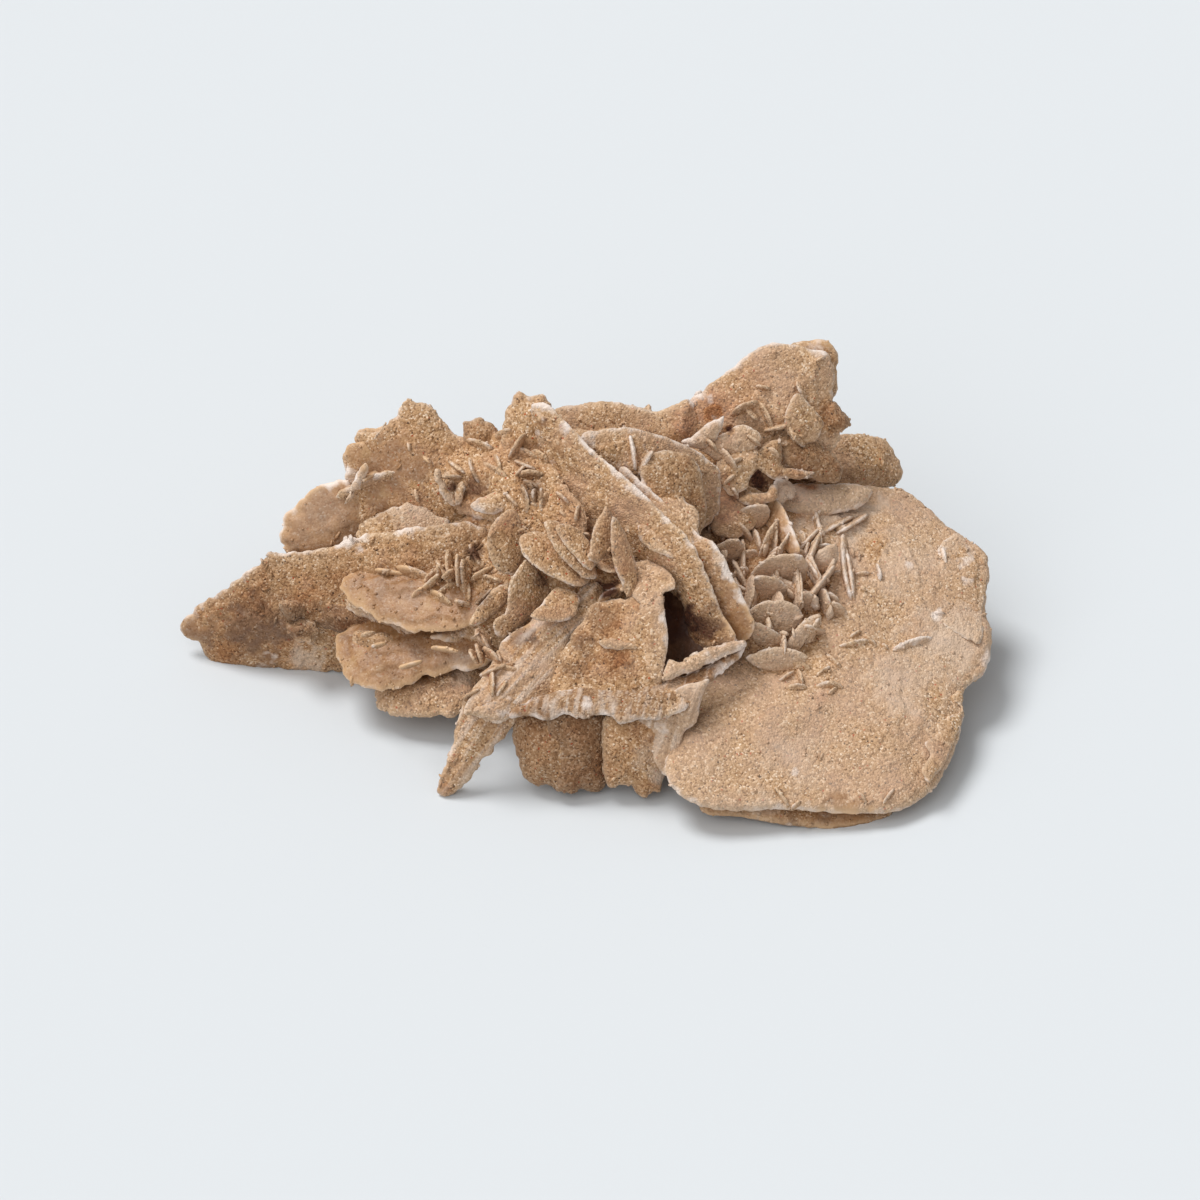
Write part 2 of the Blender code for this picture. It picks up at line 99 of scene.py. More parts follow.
NOISE_MIX = np.array([12.9898, 78.233, 37.719])  # gives each corner of the noise's cells its own value

Face = namedtuple(
    "Face", "rim near right up thick honey frost tone crust fibres", defaults=(0.1, 0.1, 0.0, 1.0, None))
Crowd = namedtuple("Crowd", "middle near right up fins spread more", defaults=((0, 0), 0))
Hidden = namedtuple("Hidden", "middle facing along half_length half_width thick")


def to_object(right, up, near):
    """Turns a place on the show face into the rose's own frame, still in millimetres."""
    lift, reach = math.sin(SHOW_TILT), math.cos(SHOW_TILT)
    return SHOW_FOOT + Vector((right, up * lift - near * reach, SHOW_HEIGHT + up * reach + near * lift))


def on_sight_line(right, up, middle, face):
    """Where the sight line through (right, up) meets a face's plane, in the rose's own frame."""
    ahead = face.near + face.right * (right - middle[0]) + face.up * (up - middle[1])
    near = ahead / (1 + (face.right * right + face.up * up) / SHOW_DISTANCE)
    spread = 1 - near / SHOW_DISTANCE
    return to_object(right * spread, up * spread, near)


def noise(places, size, seed):
    """Smooth noise from -1 to 1 at many places (rows), in lumps of about this size."""
    cells = places / size + 31.7 * seed
    low = np.floor(cells)
    ease = (cells - low) ** 2 * (3 - 2 * (cells - low))
    total = np.zeros(len(places))
    for corner in np.ndindex(*(2,) * places.shape[1]):
        spot = (low + corner) @ NOISE_MIX[:places.shape[1]]
        value = np.sin(spot + seed) * 43758.5453
        total += (value - np.floor(value)) * np.prod(np.where(corner, ease, 1 - ease), axis=1)
    return 2 * total - 1


def smooth_loop(corners, spacing):
    """A closed curve through the corners, with a point about every spacing along it."""
    ahead = np.roll(corners, -1, 0) - corners
    length = np.linalg.norm(ahead, axis=1, keepdims=True)
    slope = (ahead + np.roll(ahead, 1, 0)) / (length + np.roll(length, 1, 0))
    t = np.linspace(0, 1, 16, endpoint=False)[:, None]
    pieces = []
    for i in range(len(corners)):
        j = (i + 1) % len(corners)
        pieces.append((2 * t**3 - 3 * t**2 + 1) * corners[i] + (3 * t**2 - 2 * t**3) * corners[j]
                      + (t**3 - 2 * t**2 + t) * length[i] * slope[i] + (t**3 - t**2) * length[i] * slope[j])
    curve = np.concatenate([*pieces, corners[:1]])
    along = np.concatenate([[0], np.cumsum(np.linalg.norm(np.diff(curve, axis=0), axis=1))])
    stops = np.linspace(0, along[-1], max(12, round(along[-1] / spacing)), endpoint=False)
    return np.stack([np.interp(stops, along, curve[:, axis]) for axis in range(2)], axis=1)


def outwards(loop):
    """The direction out of a closed flat loop at each of its points."""
    ahead = np.roll(loop, -1, 0) - np.roll(loop, 1, 0)
    turned = np.stack([ahead[:, 1], -ahead[:, 0]], axis=1)
    following = np.roll(loop, -1, 0)
    area = (loop[:, 0] * following[:, 1] - following[:, 0] * loop[:, 1]).sum()
    return turned / (np.linalg.norm(turned, axis=1, keepdims=True) + 1e-9) * math.copysign(1, area)


def lattice(low, high, spacing):
    """Points of a triangular lattice that fills a flat box."""
    rows = np.arange(low[1], high[1], spacing * math.sqrt(0.75))
    columns = np.arange(low[0], high[0], spacing)
    across, down = np.meshgrid(columns, rows)
    across = across + np.where(np.arange(len(rows)) % 2, spacing / 2, 0)[:, None]
    return np.stack([across.ravel(), down.ravel()], axis=1)


def distances(places, loop):
    """How far each flat place is from the nearest point of a loop."""
    tree = KDTree(len(loop))
    for number, (x, y) in enumerate(loop):
        tree.insert((x, y, 0), number)
    tree.balance()
    return np.array([tree.find((x, y, 0))[2] for x, y in places])


def grow_blade(name, rim, thick, seed, honey=0.1, frost=0.1, tone=0.0, crust=1.0, fibres=None,
               steps=(1.6, 4.5), lobes=1.0, bend=0.0, blunt=RIM_HALF, swelling=0.6, spacing=RIM_STEP):
    """Makes one closed blade inside its rim: a lens with a blunt wavy rim, growth steps and lumps of sand.
    Fibres are given by their turn from the blade's long axis in degrees, width, length and height."""
    corners = np.array(rim)
    middle = corners.mean(axis=0)
    axes = np.linalg.svd(corners - middle)[2]
    loop = smooth_loop((corners - middle) @ axes[:2].T, spacing)
    out = outwards(loop)
    cusp = (1 - np.abs(noise(loop, LOBE_WIDTH, seed))) ** 2 + 0.4 * noise(loop, 0.9, seed + 1)
    loop = loop - out * (lobes * LOBE_DEPTH * cusp)[:, None]
    inner = loop - outwards(loop) * spacing * 0.8
    fill = lattice(loop.min(axis=0), loop.max(axis=0), spacing)
    fill = fill[distances(fill, loop) > 1.35 * spacing]
    inner = inner[distances(inner, loop) > 0.6 * spacing]
    places = [Vector(place) for place in np.concatenate([loop, inner, fill])]
    places, _, faces, *_ = delaunay_2d_cdt(places, [], [list(range(len(loop)))], 1, 1e-5)
    faces = np.array([face for face in faces if len(face) == 3])
    used, faces = np.unique(faces, return_inverse=True)
    faces = faces.reshape(-1, 3)
    flat = np.array([places[index] for index in used])

    pairs = np.concatenate([faces[:, [0, 1]], faces[:, [1, 2]], faces[:, [2, 0]]])
    known = set(map(tuple, pairs.tolist()))
    edge = [(a, b) for a, b in known if (b, a) not in known]
    inside = distances(flat, loop)
    inside[[a for a, b in edge]] = 0
    reach = inside / max(inside.max(), 1e-6)
    swell = blunt * (0.5 + 0.5 * np.sqrt(np.clip(inside / 0.5, 0, 1)))
    swell += max(thick / 2 - blunt, 0) * reach ** swelling
    streak = np.zeros(len(flat))
    if fibres:
        turn, width, length, fibre_height = fibres
        heading = np.array([math.cos(math.radians(turn)), math.sin(math.radians(turn))])
        run = np.stack([flat @ heading / length, flat @ (-heading[1], heading[0]) / width], axis=1)
        streak = 0.7 * noise(run, 1.0, seed) + 0.3 * noise(2.3 * run, 1.0, seed + 1)
    calm = np.clip(inside / RELIEF_START, 0, 1)
    sides = []
    for side in (1, -1):
        relief = np.zeros(len(flat))
        ragged = inside + 1.5 * noise(flat, 4.2, seed + 3 * side) + 0.5 * noise(flat, 1.4, seed + 5 * side)
        shown = np.clip(0.75 + 1.3 * noise(flat, STEP_REACH, seed + 9 * side), 0, 1)
        for start in steps:
            relief += STEP_HEIGHT * shown * np.clip((ragged - start) / STEP_SLOPE, 0, 1)
        relief += LUMP_HEIGHT * calm * np.clip(noise(flat, LUMP_SIZE, seed + 7 * side), 0, 1) ** 2
        if fibres:
            relief += fibre_height * streak
        sides.append(side * (swell + calm * relief * min(1, thick / 3)))
    half = np.abs(flat).max(axis=0) + 1e-6
    sag = (WARP_HEIGHT * noise(flat, WARP_SIZE, seed + 11) * min(1, half[0] / 8)
           + bend * (flat[:, 0] / half[0]) ** 2)
    count = len(flat)
    points = [middle + flat @ axes[:2] + np.outer(sag + height, axes[2]) for height in sides]
    right_handed = np.linalg.det(axes) > 0
    turned = faces if right_handed else faces[:, ::-1]
    walls = [(b, a, a + count) if right_handed else (a, b, b + count) for a, b in edge]
    walls += [(b, a + count, b + count) if right_handed else (a, b + count, a + count) for a, b in edge]
    faces = np.concatenate([turned, turned[:, ::-1] + count, np.array(walls)])

    mesh = bpy.data.meshes.new(name)
    mesh.from_pydata((np.concatenate(points) * MM).tolist(), [], faces.tolist())
    for label, value in (("rim", np.exp(-inside / RIM_FADE)), ("honey", honey), ("frost", frost),
                         ("tone", tone), ("crust", crust), ("iron", 0.0), ("streak", streak)):
        layer = mesh.attributes.new(label, "FLOAT", "POINT")
        layer.data.foreach_set("value", np.tile(np.zeros(count) + value, 2).astype(np.float32))
    return bpy.data.objects.new(name, mesh)


def face_blade(name, face, **more):
    """One blade from its face on the show side, with a seed of its own from its name."""
    middle = np.mean(face.rim, axis=0)
    rim = [on_sight_line(right, up, middle, face) for right, up in face.rim]
    seed = sum(map(ord, name)) % 97
    return grow_blade(
        name, rim, face.thick, seed, face.honey, face.frost, face.tone, face.crust, face.fibres, **more)


def ellipse(middle, along, across, sides=12):
    """Points around an ellipse with these two half axes."""
    turns = [math.tau * side / sides for side in range(sides)]
    return [middle + along * math.cos(turn) + across * math.sin(turn) for turn in turns]


def leaf(middle, along, across, sides=14):
    """Points around a leaf shape with these two half axes. Its lower half is longer, and is its root."""
    turns = [math.tau * side / sides for side in range(sides)]
    return [middle + along * math.cos(turn)
            + across * math.sin(turn) * abs(math.sin(turn)) ** 0.15 * (1 if turn < math.pi else FIN_ROOT)
            for turn in turns]


def ground_under(blades):
    """The surfaces of some blades, ready for sight lines to meet them."""
    corners, faces = [], []
    for blade in blades:
        faces += [[index + len(corners) for index in face.vertices] for face in blade.data.polygons]
        corners += [vertex.co / MM for vertex in blade.data.vertices]
    return BVHTree.FromPolygons(corners, faces)


def footing(right, up, crowd, ground):
    """Where a sight line meets the ground, or the crowd's plane where the ground is too far from it."""
    place = on_sight_line(right, up, crowd.middle, crowd)
    seen_from = to_object(0, 0, SHOW_DISTANCE)
    met = ground.ray_cast(seen_from, (place - seen_from).normalized())[0]
    return met if met and (met - place).length < FOOTING_REACH else place


def strewn_fins(crowd, seed):
    """The crowd's listed blades, and more small ones strewn at random between them."""
    draw = np.random.default_rng(seed)
    fins = list(crowd.fins)
    for _ in range(crowd.more):
        turn, away = draw.uniform(0, math.tau), math.sqrt(draw.uniform(0, 1))
        right = crowd.middle[0] + crowd.spread[0] * away * math.cos(turn)
        up = crowd.middle[1] + crowd.spread[1] * away * math.sin(turn)
        heading, half = draw.uniform(0, math.pi), draw.uniform(*STREWN_HALF)
        side_step, up_step = half * math.cos(heading), half * math.sin(heading)
        fins.append((right - side_step, up - up_step, right + side_step, up + up_step,
                     draw.uniform(-STREWN_LEAN, STREWN_LEAN), STREWN_STAND + STREWN_RISE * half))
    return fins


def crowd_blades(name, crowd, ground, honey=0.1, frost=0.0, tone=0.0):
    """A crowd's small blades. Each is given by the ends a and b of its long axis, which lies on the ground,
    by its lean in degrees to the right hand of someone who walks from a to b, and by how high its rim
    stands."""
    outward = Vector((-crowd.right, -crowd.up, 1)).normalized()
    outward = to_object(*outward) - to_object(0, 0, 0)
    for number, fin in enumerate(strewn_fins(crowd, len(name)), start=1):
        right_a, up_a, right_b, up_b, lean, height = fin
        start = footing(right_a, up_a, crowd, ground)
        end = footing(right_b, up_b, crowd, ground)
        along = (end - start) / 2
        up = Matrix.Rotation(math.radians(lean), 3, along) @ outward * height
        bend = FIN_BEND * along.length * math.sin(5.1 * number)
        thick = FIN_THICK + FIN_THICKENING * along.length
        yield grow_blade(f"{name}_{number:02d}", leaf((start + end) / 2, along, up), thick, number,
                         honey, frost, tone, steps=(), lobes=0.25, bend=bend, swelling=0.5,
                         spacing=FIN_SPACING)


def floor_cutter():
    """A block from the ground down, which cuts the lowest rims off flat."""
    shape = bmesh.new()
    bmesh.ops.create_cube(shape, size=1.0)
    bmesh.ops.translate(shape, verts=shape.verts, vec=(0, 0, -0.5))
    bmesh.ops.scale(shape, verts=shape.verts, vec=Vector((FLOOR_WIDTH, FLOOR_WIDTH, FLOOR_DEPTH)) * MM)
    mesh = bpy.data.meshes.new("floor_cutter")
    shape.to_mesh(mesh)
    shape.free()
    return bpy.data.objects.new("floor_cutter", mesh)


def evaluated_mesh(item):
    """A plain mesh of an object with its modifiers carried out."""
    bpy.context.view_layer.update()
    graph = bpy.context.evaluated_depsgraph_get()
    return bpy.data.meshes.new_from_object(item.evaluated_get(graph))


def fuse(name, blades):
    """Joins blades that grew through one another into one closed surface that stands on the ground."""
    blades = list(blades)
    helpers = bpy.data.collections.new(name + "_blades")
    bpy.context.scene.collection.children.link(helpers)
    trunk, cutter = blades.pop(0), floor_cutter()
    for item in blades:
        helpers.objects.link(item)
    for item in (trunk, cutter):
        bpy.context.scene.collection.objects.link(item)
    if blades:
        join = trunk.modifiers.new("grown_together", "BOOLEAN")
        join.operation, join.operand_type, join.solver = "UNION", "COLLECTION", "MANIFOLD"
        join.collection = helpers
    flat = trunk.modifiers.new("feet", "BOOLEAN")
    flat.operation, flat.object, flat.solver = "DIFFERENCE", cutter, "MANIFOLD"
    mesh = evaluated_mesh(trunk)
    mesh.name = name
    for item in (trunk, cutter, *blades):
        bpy.data.objects.remove(item)
    bpy.data.collections.remove(helpers)
    return mesh


def paint_spots(mesh, label, spots):
    """Draws an attribute towards a value around places on the show face.
    Each spot is (right, up, radius, value)."""
    count = len(mesh.vertices)
    places = np.empty(3 * count)
    mesh.vertices.foreach_get("co", places)
    places = places.reshape(-1, 3) / MM - np.array((*SHOW_FOOT[:2], SHOW_HEIGHT))
    lift, reach = math.sin(SHOW_TILT), math.cos(SHOW_TILT)
    near = places[:, 2] * lift - places[:, 1] * reach
    seen = np.stack([places[:, 0], places[:, 1] * lift + places[:, 2] * reach], axis=1)
    seen /= (1 - near / SHOW_DISTANCE)[:, None]
    values = np.empty(count)
    mesh.attributes[label].data.foreach_get("value", values)
    ragged = 0.35 * noise(seen, 1.6, 5) + 0.25 * noise(seen, 0.7, 6)
    for right, up, radius, value in spots:
        away = np.hypot(seen[:, 0] - right, seen[:, 1] - up) / radius
        values += np.clip(1.6 * (1 + ragged - away), 0, 1) * (value - values)
    mesh.attributes[label].data.foreach_set("value", values.astype(np.float32))


def linear(hexed):
    """An sRGB hex colour as linear light."""
    parts = [int(hexed[i:i + 2], 16) / 255 for i in (1, 3, 5)]
    return (*[part / 12.92 if part <= 0.04045 else ((part + 0.055) / 1.055) ** 2.4 for part in parts], 1.0)


def add(tree, kind, inputs=None, stops=(), **settings):
    """Adds a node with its settings and colour stops. An input takes a value, the socket that feeds it, or a
    node, which feeds it from its first output."""
    node = tree.nodes.new(kind)
    for name, value in settings.items():
        setattr(node, name, value)
    marks = node.color_ramp.elements if stops else []
    while len(marks) < len(stops):
        marks.new(1.0)
    for mark, (place, hexed) in zip(marks, stops):
        mark.position, mark.color = place, linear(hexed)
    for name, value in (inputs or {}).items():
        if isinstance(value, bpy.types.Node):
            value = next(output for output in value.outputs if output.enabled)
        if isinstance(value, bpy.types.NodeSocket):
            tree.links.new(value, node.inputs[name])
        else:
            node.inputs[name].default_value = value
    return node


def sandy_gypsum():
    """Gypsum that grew with about half its bulk in sand: a dry, matt crust of tan quartz grains, with milky
    rims where the sand stopped and honey-brown gypsum where the crust fell off."""
    material = bpy.data.materials.new("sandy_gypsum")
    material.use_nodes = True
    material.node_tree.nodes.clear()
    node = partial(add, material.node_tree)
    blend = partial(node, "ShaderNodeMix", data_type="RGBA")
    math_kind, noise_kind = "ShaderNodeMath", "ShaderNodeTexNoise"
    cell_kind, ramp_kind = "ShaderNodeTexVoronoi", "ShaderNodeValToRGB"
    place = node("ShaderNodeTexCoord").outputs["Object"]
    rim, honey, frost, tone, iron, streak = (
        node("ShaderNodeAttribute", attribute_name=label).outputs["Fac"]
        for label in ("rim", "honey", "frost", "tone", "iron", "streak"))

    # Each grain is one cell with its own shade: fine sand of about 0.3 mm, with coarser grains among it.
    fine = node(cell_kind, {"Vector": place, "Scale": 1 / (0.27 * MM)})
    coarse = node(cell_kind, {"Vector": place, "Scale": 1 / (0.5 * MM)})
    fine_parts = node("ShaderNodeSeparateColor", {"Color": fine.outputs["Color"]}).outputs
    coarse_parts = node("ShaderNodeSeparateColor", {"Color": coarse.outputs["Color"]}).outputs
    shade = node(ramp_kind, {"Fac": fine_parts["Red"]}, stops=[
        (0.0, "#82603F"), (0.12, "#A68059"), (0.4, "#BA966E"), (0.7, "#CBA883"), (0.9, "#DABC9C"),
        (1.0, "#F0DFCA")])
    large = node(ramp_kind, {"Fac": coarse_parts["Red"]}, stops=[
        (0.0, "#6E4E31"), (0.45, "#AE8659"), (0.75, "#D6B287"), (1.0, "#F0E0CB")])
    is_large = node(math_kind, {0: coarse_parts["Green"], 1: 0.8}, operation="GREATER_THAN")
    is_large = node(math_kind, {0: is_large, 1: 0.4}, operation="MULTIPLY")
    shade = blend({0: is_large, 6: shade, 7: large})
    is_rust = node(math_kind, {0: fine_parts["Green"], 1: 0.996}, operation="GREATER_THAN")
    shade = blend({0: is_rust, 6: shade, 7: linear("#B4592A")})
    is_dark = node(math_kind, {0: fine_parts["Blue"], 1: 0.99}, operation="GREATER_THAN")
    shade = blend({0: is_dark, 6: shade, 7: linear("#664C34")})

    # Iron stains the sand in patches of a few millimetres, more of it where the iron attribute is painted.
    # The sand is paler along every rim: partly wear, and partly a painted highlight where the rims catch the
    # light.
    cloud = node(noise_kind, {"Vector": place, "Scale": 1 / (6 * MM), "Detail": 4.0})
    stain = node(ramp_kind, {"Fac": cloud}, stops=[(0.32, "#F8F2EC"), (0.5, "#ECDCCB"), (0.68, "#D6AC7B")])
    sand = blend({0: 0.8, 6: shade, 7: stain}, blend_type="MULTIPLY")
    rusty = node(math_kind, {0: iron, 1: cloud}, operation="MULTIPLY")
    rusty = node(math_kind, {0: rusty, 1: 1.3}, operation="MULTIPLY", use_clamp=True)
    sand = blend({0: rusty, 6: sand, 7: linear("#E0A55E")}, blend_type="MULTIPLY")
    worn_and_lit_rim = node(math_kind, {0: rim, 1: 0.35}, operation="MULTIPLY")
    sand = blend({0: worn_and_lit_rim, 6: sand, 7: linear("#E2CBAE")})

    # Bare gypsum: honey-brown and cloudy, with grains that still stick to it.
    mist = node(noise_kind, {"Vector": place, "Scale": 1 / (3.5 * MM), "Detail": 3.0})
    clear = node(ramp_kind, {"Fac": mist}, stops=[
        (0.3, "#6E4829"), (0.45, "#865830"), (0.58, "#99693B"), (0.72, "#AB8355")])
    clear = blend({0: 0.25, 6: clear, 7: shade})
    dirt = node(noise_kind, {"Vector": place, "Scale": 1 / (0.9 * MM), "Detail": 3.0})
    stuck = node(math_kind, {0: dirt, 1: -1.7, 2: 0.3}, operation="MULTIPLY_ADD")
    bare = node(math_kind, {0: honey, 1: 1.9, 2: stuck}, operation="MULTIPLY_ADD")
    bare = node(math_kind, {0: bare, 1: 1.6}, operation="MULTIPLY", use_clamp=True)
    surface = blend({0: bare, 6: sand, 7: clear})
    # Bare rims get a lighter honey: a painted glow that stands in for light shining through the thin gypsum.
    glow = node(math_kind, {0: rim, 1: bare}, operation="MULTIPLY", use_clamp=True)
    surface = blend({0: glow, 6: surface, 7: linear("#D6B086")})

    # A raised tone makes the sand paler: gypsum dust, and in places painted light where shade falls.
    # A lowered one makes it darker: damp clay, and in places painted shade in pockets, in gaps and on faces
    # turned from the light. Fibres show as fine pale and dark streaks.
    dust_and_painted_light = node(math_kind, {0: cloud, 1: 1.6, 2: tone}, operation="MULTIPLY_ADD")
    dust_and_painted_light = node(math_kind, {0: dust_and_painted_light, 1: 0.8}, operation="SUBTRACT")
    dust_and_painted_light = node(math_kind, {0: dust_and_painted_light, 1: 0.6}, operation="MULTIPLY", use_clamp=True)
    clean = node(math_kind, {0: bare, 1: -0.7, 2: 1.0}, operation="MULTIPLY_ADD")
    dust_and_painted_light = node(math_kind, {0: dust_and_painted_light, 1: clean}, operation="MULTIPLY")
    surface = blend({0: dust_and_painted_light, 6: surface, 7: linear("#D8C2AD")})
    # Darker brown here is partly damp clay and partly painted shade.
    clay_and_painted_shade = node(math_kind, {0: tone, 1: -0.7}, operation="MULTIPLY", use_clamp=True)
    clay_and_painted_shade = blend({0: clay_and_painted_shade, 6: linear("#FFFFFF"), 7: linear("#6C4A30")})
    surface = blend({0: 1.0, 6: surface, 7: clay_and_painted_shade}, blend_type="MULTIPLY")
    dull = node(math_kind, {0: streak, 1: -0.7}, operation="MULTIPLY", use_clamp=True)
    surface = blend({0: dull, 6: surface, 7: linear("#8C6A4C")})
    shiny = node(math_kind, {0: streak, 1: 0.6}, operation="MULTIPLY", use_clamp=True)
    surface = blend({0: shiny, 6: surface, 7: linear("#E9DCD0")})

    # Milky rims, and white crust where a blade was bruised.
    flecks = node(noise_kind, {"Vector": place, "Scale": 1 / (1.8 * MM), "Detail": 4.0})
    milky = node(math_kind, {0: rim, 1: 0.9, 2: frost}, operation="MULTIPLY_ADD")
    milky = node(math_kind, {0: flecks, 1: 3.0, 2: milky}, operation="MULTIPLY_ADD")
    milky = node(math_kind, {0: milky, 1: 2.35}, operation="SUBTRACT", use_clamp=True)
    milky = node(math_kind, {0: milky, 1: 0.8}, operation="MULTIPLY")
    surface = blend({0: milky, 6: surface, 7: linear("#EADDD4")})

    height = node(math_kind, {0: fine.outputs["Distance"], 1: -0.5, 2: 1.0}, operation="MULTIPLY_ADD")
    height = node(math_kind, {0: coarse.outputs["Distance"], 1: -0.4, 2: height}, operation="MULTIPLY_ADD")
    rough = node(math_kind, {0: bare, 1: -0.35, 2: 0.85}, operation="MULTIPLY_ADD")
    crust = node(math_kind, {0: bare, 1: -0.7, 2: 1.0}, operation="MULTIPLY_ADD")
    bump = node("ShaderNodeBump", {"Height": height, "Strength": crust, "Distance": 0.2 * MM})
    shader = node("ShaderNodeBsdfPrincipled", {
        "Base Color": surface, "Roughness": rough, "Normal": bump, "IOR": 1.52})
    node("ShaderNodeOutputMaterial", {"Surface": shader})
    return material


GYPSUM = sandy_gypsum()


def crust_tree():
    """Geometry Nodes that roughen a fused surface with a sandy crust, in clods where the crust is thick."""
    tree = bpy.data.node_groups.new("sand_crust", "GeometryNodeTree")
    face = tree.interface
    face.new_socket("Geometry", in_out="INPUT", socket_type="NodeSocketGeometry")
    for name in ("Grain size", "Grain height", "Speck height", "Clod size"):
        face.new_socket(name, in_out="INPUT", socket_type="NodeSocketFloat")
    face.new_socket("Material", in_out="INPUT", socket_type="NodeSocketMaterial")
    face.new_socket("Geometry", in_out="OUTPUT", socket_type="NodeSocketGeometry")
    node = partial(add, tree)
    math_kind, noise_kind = "ShaderNodeMath", "ShaderNodeTexNoise"
    given = node("NodeGroupInput").outputs
    place = node("GeometryNodeInputPosition")
    scale = node(math_kind, {0: 1.0, 1: given["Grain size"]}, operation="DIVIDE")
    grains = node(noise_kind, {"Vector": place, "Scale": scale, "Detail": 1.5, "Roughness": 0.7})
    grains = node(math_kind, {0: grains, 1: 0.5}, operation="SUBTRACT")
    scale = node(math_kind, {0: 1.0, 1: given["Clod size"]}, operation="DIVIDE")
    clods = node(noise_kind, {"Vector": place, "Scale": scale, "Detail": 3.0})
    clods = node(math_kind, {0: clods, 1: 0.5}, operation="SUBTRACT")
    crust = node("GeometryNodeInputNamedAttribute", {"Name": "crust"}, data_type="FLOAT")
    caked = node(math_kind, {0: crust, 1: 1.0}, operation="SUBTRACT")
    caked = node(math_kind, {0: caked, 1: 0.0}, operation="MAXIMUM")
    clods = node(math_kind, {0: clods, 1: caked}, operation="MULTIPLY")
    rise = node(math_kind, {0: clods, 1: 2.0, 2: grains}, operation="MULTIPLY_ADD")
    honey = node("GeometryNodeInputNamedAttribute", {"Name": "honey"}, data_type="FLOAT")
    sandy = node(math_kind, {0: honey, 1: -0.7, 2: 1.0}, operation="MULTIPLY_ADD")
    rise = node(math_kind, {0: rise, 1: given["Grain height"]}, operation="MULTIPLY")
    speck = node("FunctionNodeRandomValue", {"Min": -1.0, "Max": 1.0, "Seed": 2}, data_type="FLOAT")
    rise = node(math_kind, {0: speck, 1: given["Speck height"], 2: rise}, operation="MULTIPLY_ADD")
    rise = node(math_kind, {0: rise, 1: sandy}, operation="MULTIPLY")
    normal = node("GeometryNodeInputNormal").outputs["Normal"]
    offset = node("ShaderNodeVectorMath", {0: normal, "Scale": rise}, operation="SCALE")
    moved = node("GeometryNodeSetPosition", {"Geometry": given["Geometry"], "Offset": offset})
    whole = node("GeometryNodeRealizeInstances", {"Geometry": moved})
    dressed = node("GeometryNodeSetMaterial", {"Geometry": whole, "Material": given["Material"]})
    node("NodeGroupOutput", {"Geometry": dressed})
    return tree


CRUST = crust_tree()


def set_inputs(modifier, **values):
    """Sets a Geometry Nodes modifier's inputs by their sockets' identifiers."""
    for item in modifier.node_group.interface.items_tree:
        label = item.name.lower().replace(" ", "_")
        if item.in_out == "INPUT" and label in values:
            modifier[item.identifier] = values[label]


def finish_piece(name, mesh, **spots):
    """Paints a fused surface's spots, attribute by attribute, roughens it, and fixes it in the frame."""
    for label, listed in spots.items():
        paint_spots(mesh, label, listed)
    item = bpy.data.objects.new(name, mesh)
    bpy.context.scene.collection.objects.link(item)
    modifier = item.modifiers.new("sand_crust", "NODES")
    modifier.node_group = CRUST
    set_inputs(modifier, grain_size=0.8 * MM, grain_height=0.42 * MM, speck_height=0.045 * MM,
               clod_size=2.2 * MM, material=GYPSUM)
    finished = evaluated_mesh(item)
    item.modifiers.clear()
    item.data = finished
    finished.name = name
    places = np.empty(3 * len(finished.vertices), np.float32)
    finished.vertices.foreach_get("co", places)
    places[2::3] = np.maximum(places[2::3], 0)
    finished.vertices.foreach_set("co", places)
    finished.shade_smooth()
    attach(item, "root")
    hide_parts("sand_rose")
    return item


plate_faces = {
    "right_plate": Face(
        [(26, 16), (31.5, 17), (39, 17), (45, 16.5), (49, 14), (53, 10.5), (57, 8), (58.5, 5), (58, -1.5),
         (59, -5.5), (58, -10.5), (54.5, -14), (54.5, -18.5), (52.5, -24.5), (49, -29.5), (43.5, -32),
         (36, -32), (25.5, -31.5), (15.5, -31), (10, -27), (10.5, -21), (14, -17), (15.5, -13), (19, -8),
         (20, -2), (17, 6), (17, 11)],
        near=-7.5, right=-0.14, up=-0.64, thick=5.5, honey=0.05, frost=0.2, tone=0.4, crust=0.7),
    "plate_under_layer": Face(
        [(15, -31.5), (18, -32.5), (22.5, -33), (28.5, -34), (36, -34.5), (40, -34), (44, -32), (42, -24),
         (27, -21), (15, -25.5)],
        near=4.4, right=-0.14, up=-0.64, thick=3.5, honey=0.4, frost=-0.2, tone=-0.2),
    "growth_step_high": Face(
        [(51.9, 9.2), (50.6, 7.6), (50.4, 6), (48.7, 4.4), (49.6, 3.8), (51.4, 3.7), (50.4, 2.4), (50.9, 0.9),
         (50.2, -0.4), (51, -1.8), (51.6, -3.6), (53.4, -5), (56.8, -6.6), (57.6, -2), (57.9, 3), (56, 7.6),
         (53.6, 10)],
        near=-13.55, right=-0.42, up=-0.72, thick=0.9, honey=0.05, frost=0.2, tone=0.6, crust=0.7),
    "growth_step_low": Face(
        [(54.2, -13.6), (52.8, -14.6), (54.2, -16.4), (52.2, -17.4), (50.4, -18.6), (50.6, -20),
         (48.6, -21.4), (49.4, -23.4), (48, -25.6), (49.4, -27.4), (51.6, -24.8), (53.6, -20.5), (54.6, -17)],
        near=0.75, right=-0.5, up=-0.62, thick=0.8, honey=0.15, frost=0.1, tone=0.2, crust=0.7),
    "rosette_seat": Face(
        [(15.5, 10.5), (20, 14.5), (28.5, 15.5), (37, 12), (38.5, 1.5), (35.5, -7.5), (27, -12), (20, -7.5),
         (16, 1.5)],
        near=-10.8, right=-0.14, up=-0.64, thick=6, frost=-0.5, tone=-0.4, crust=1.8),
}
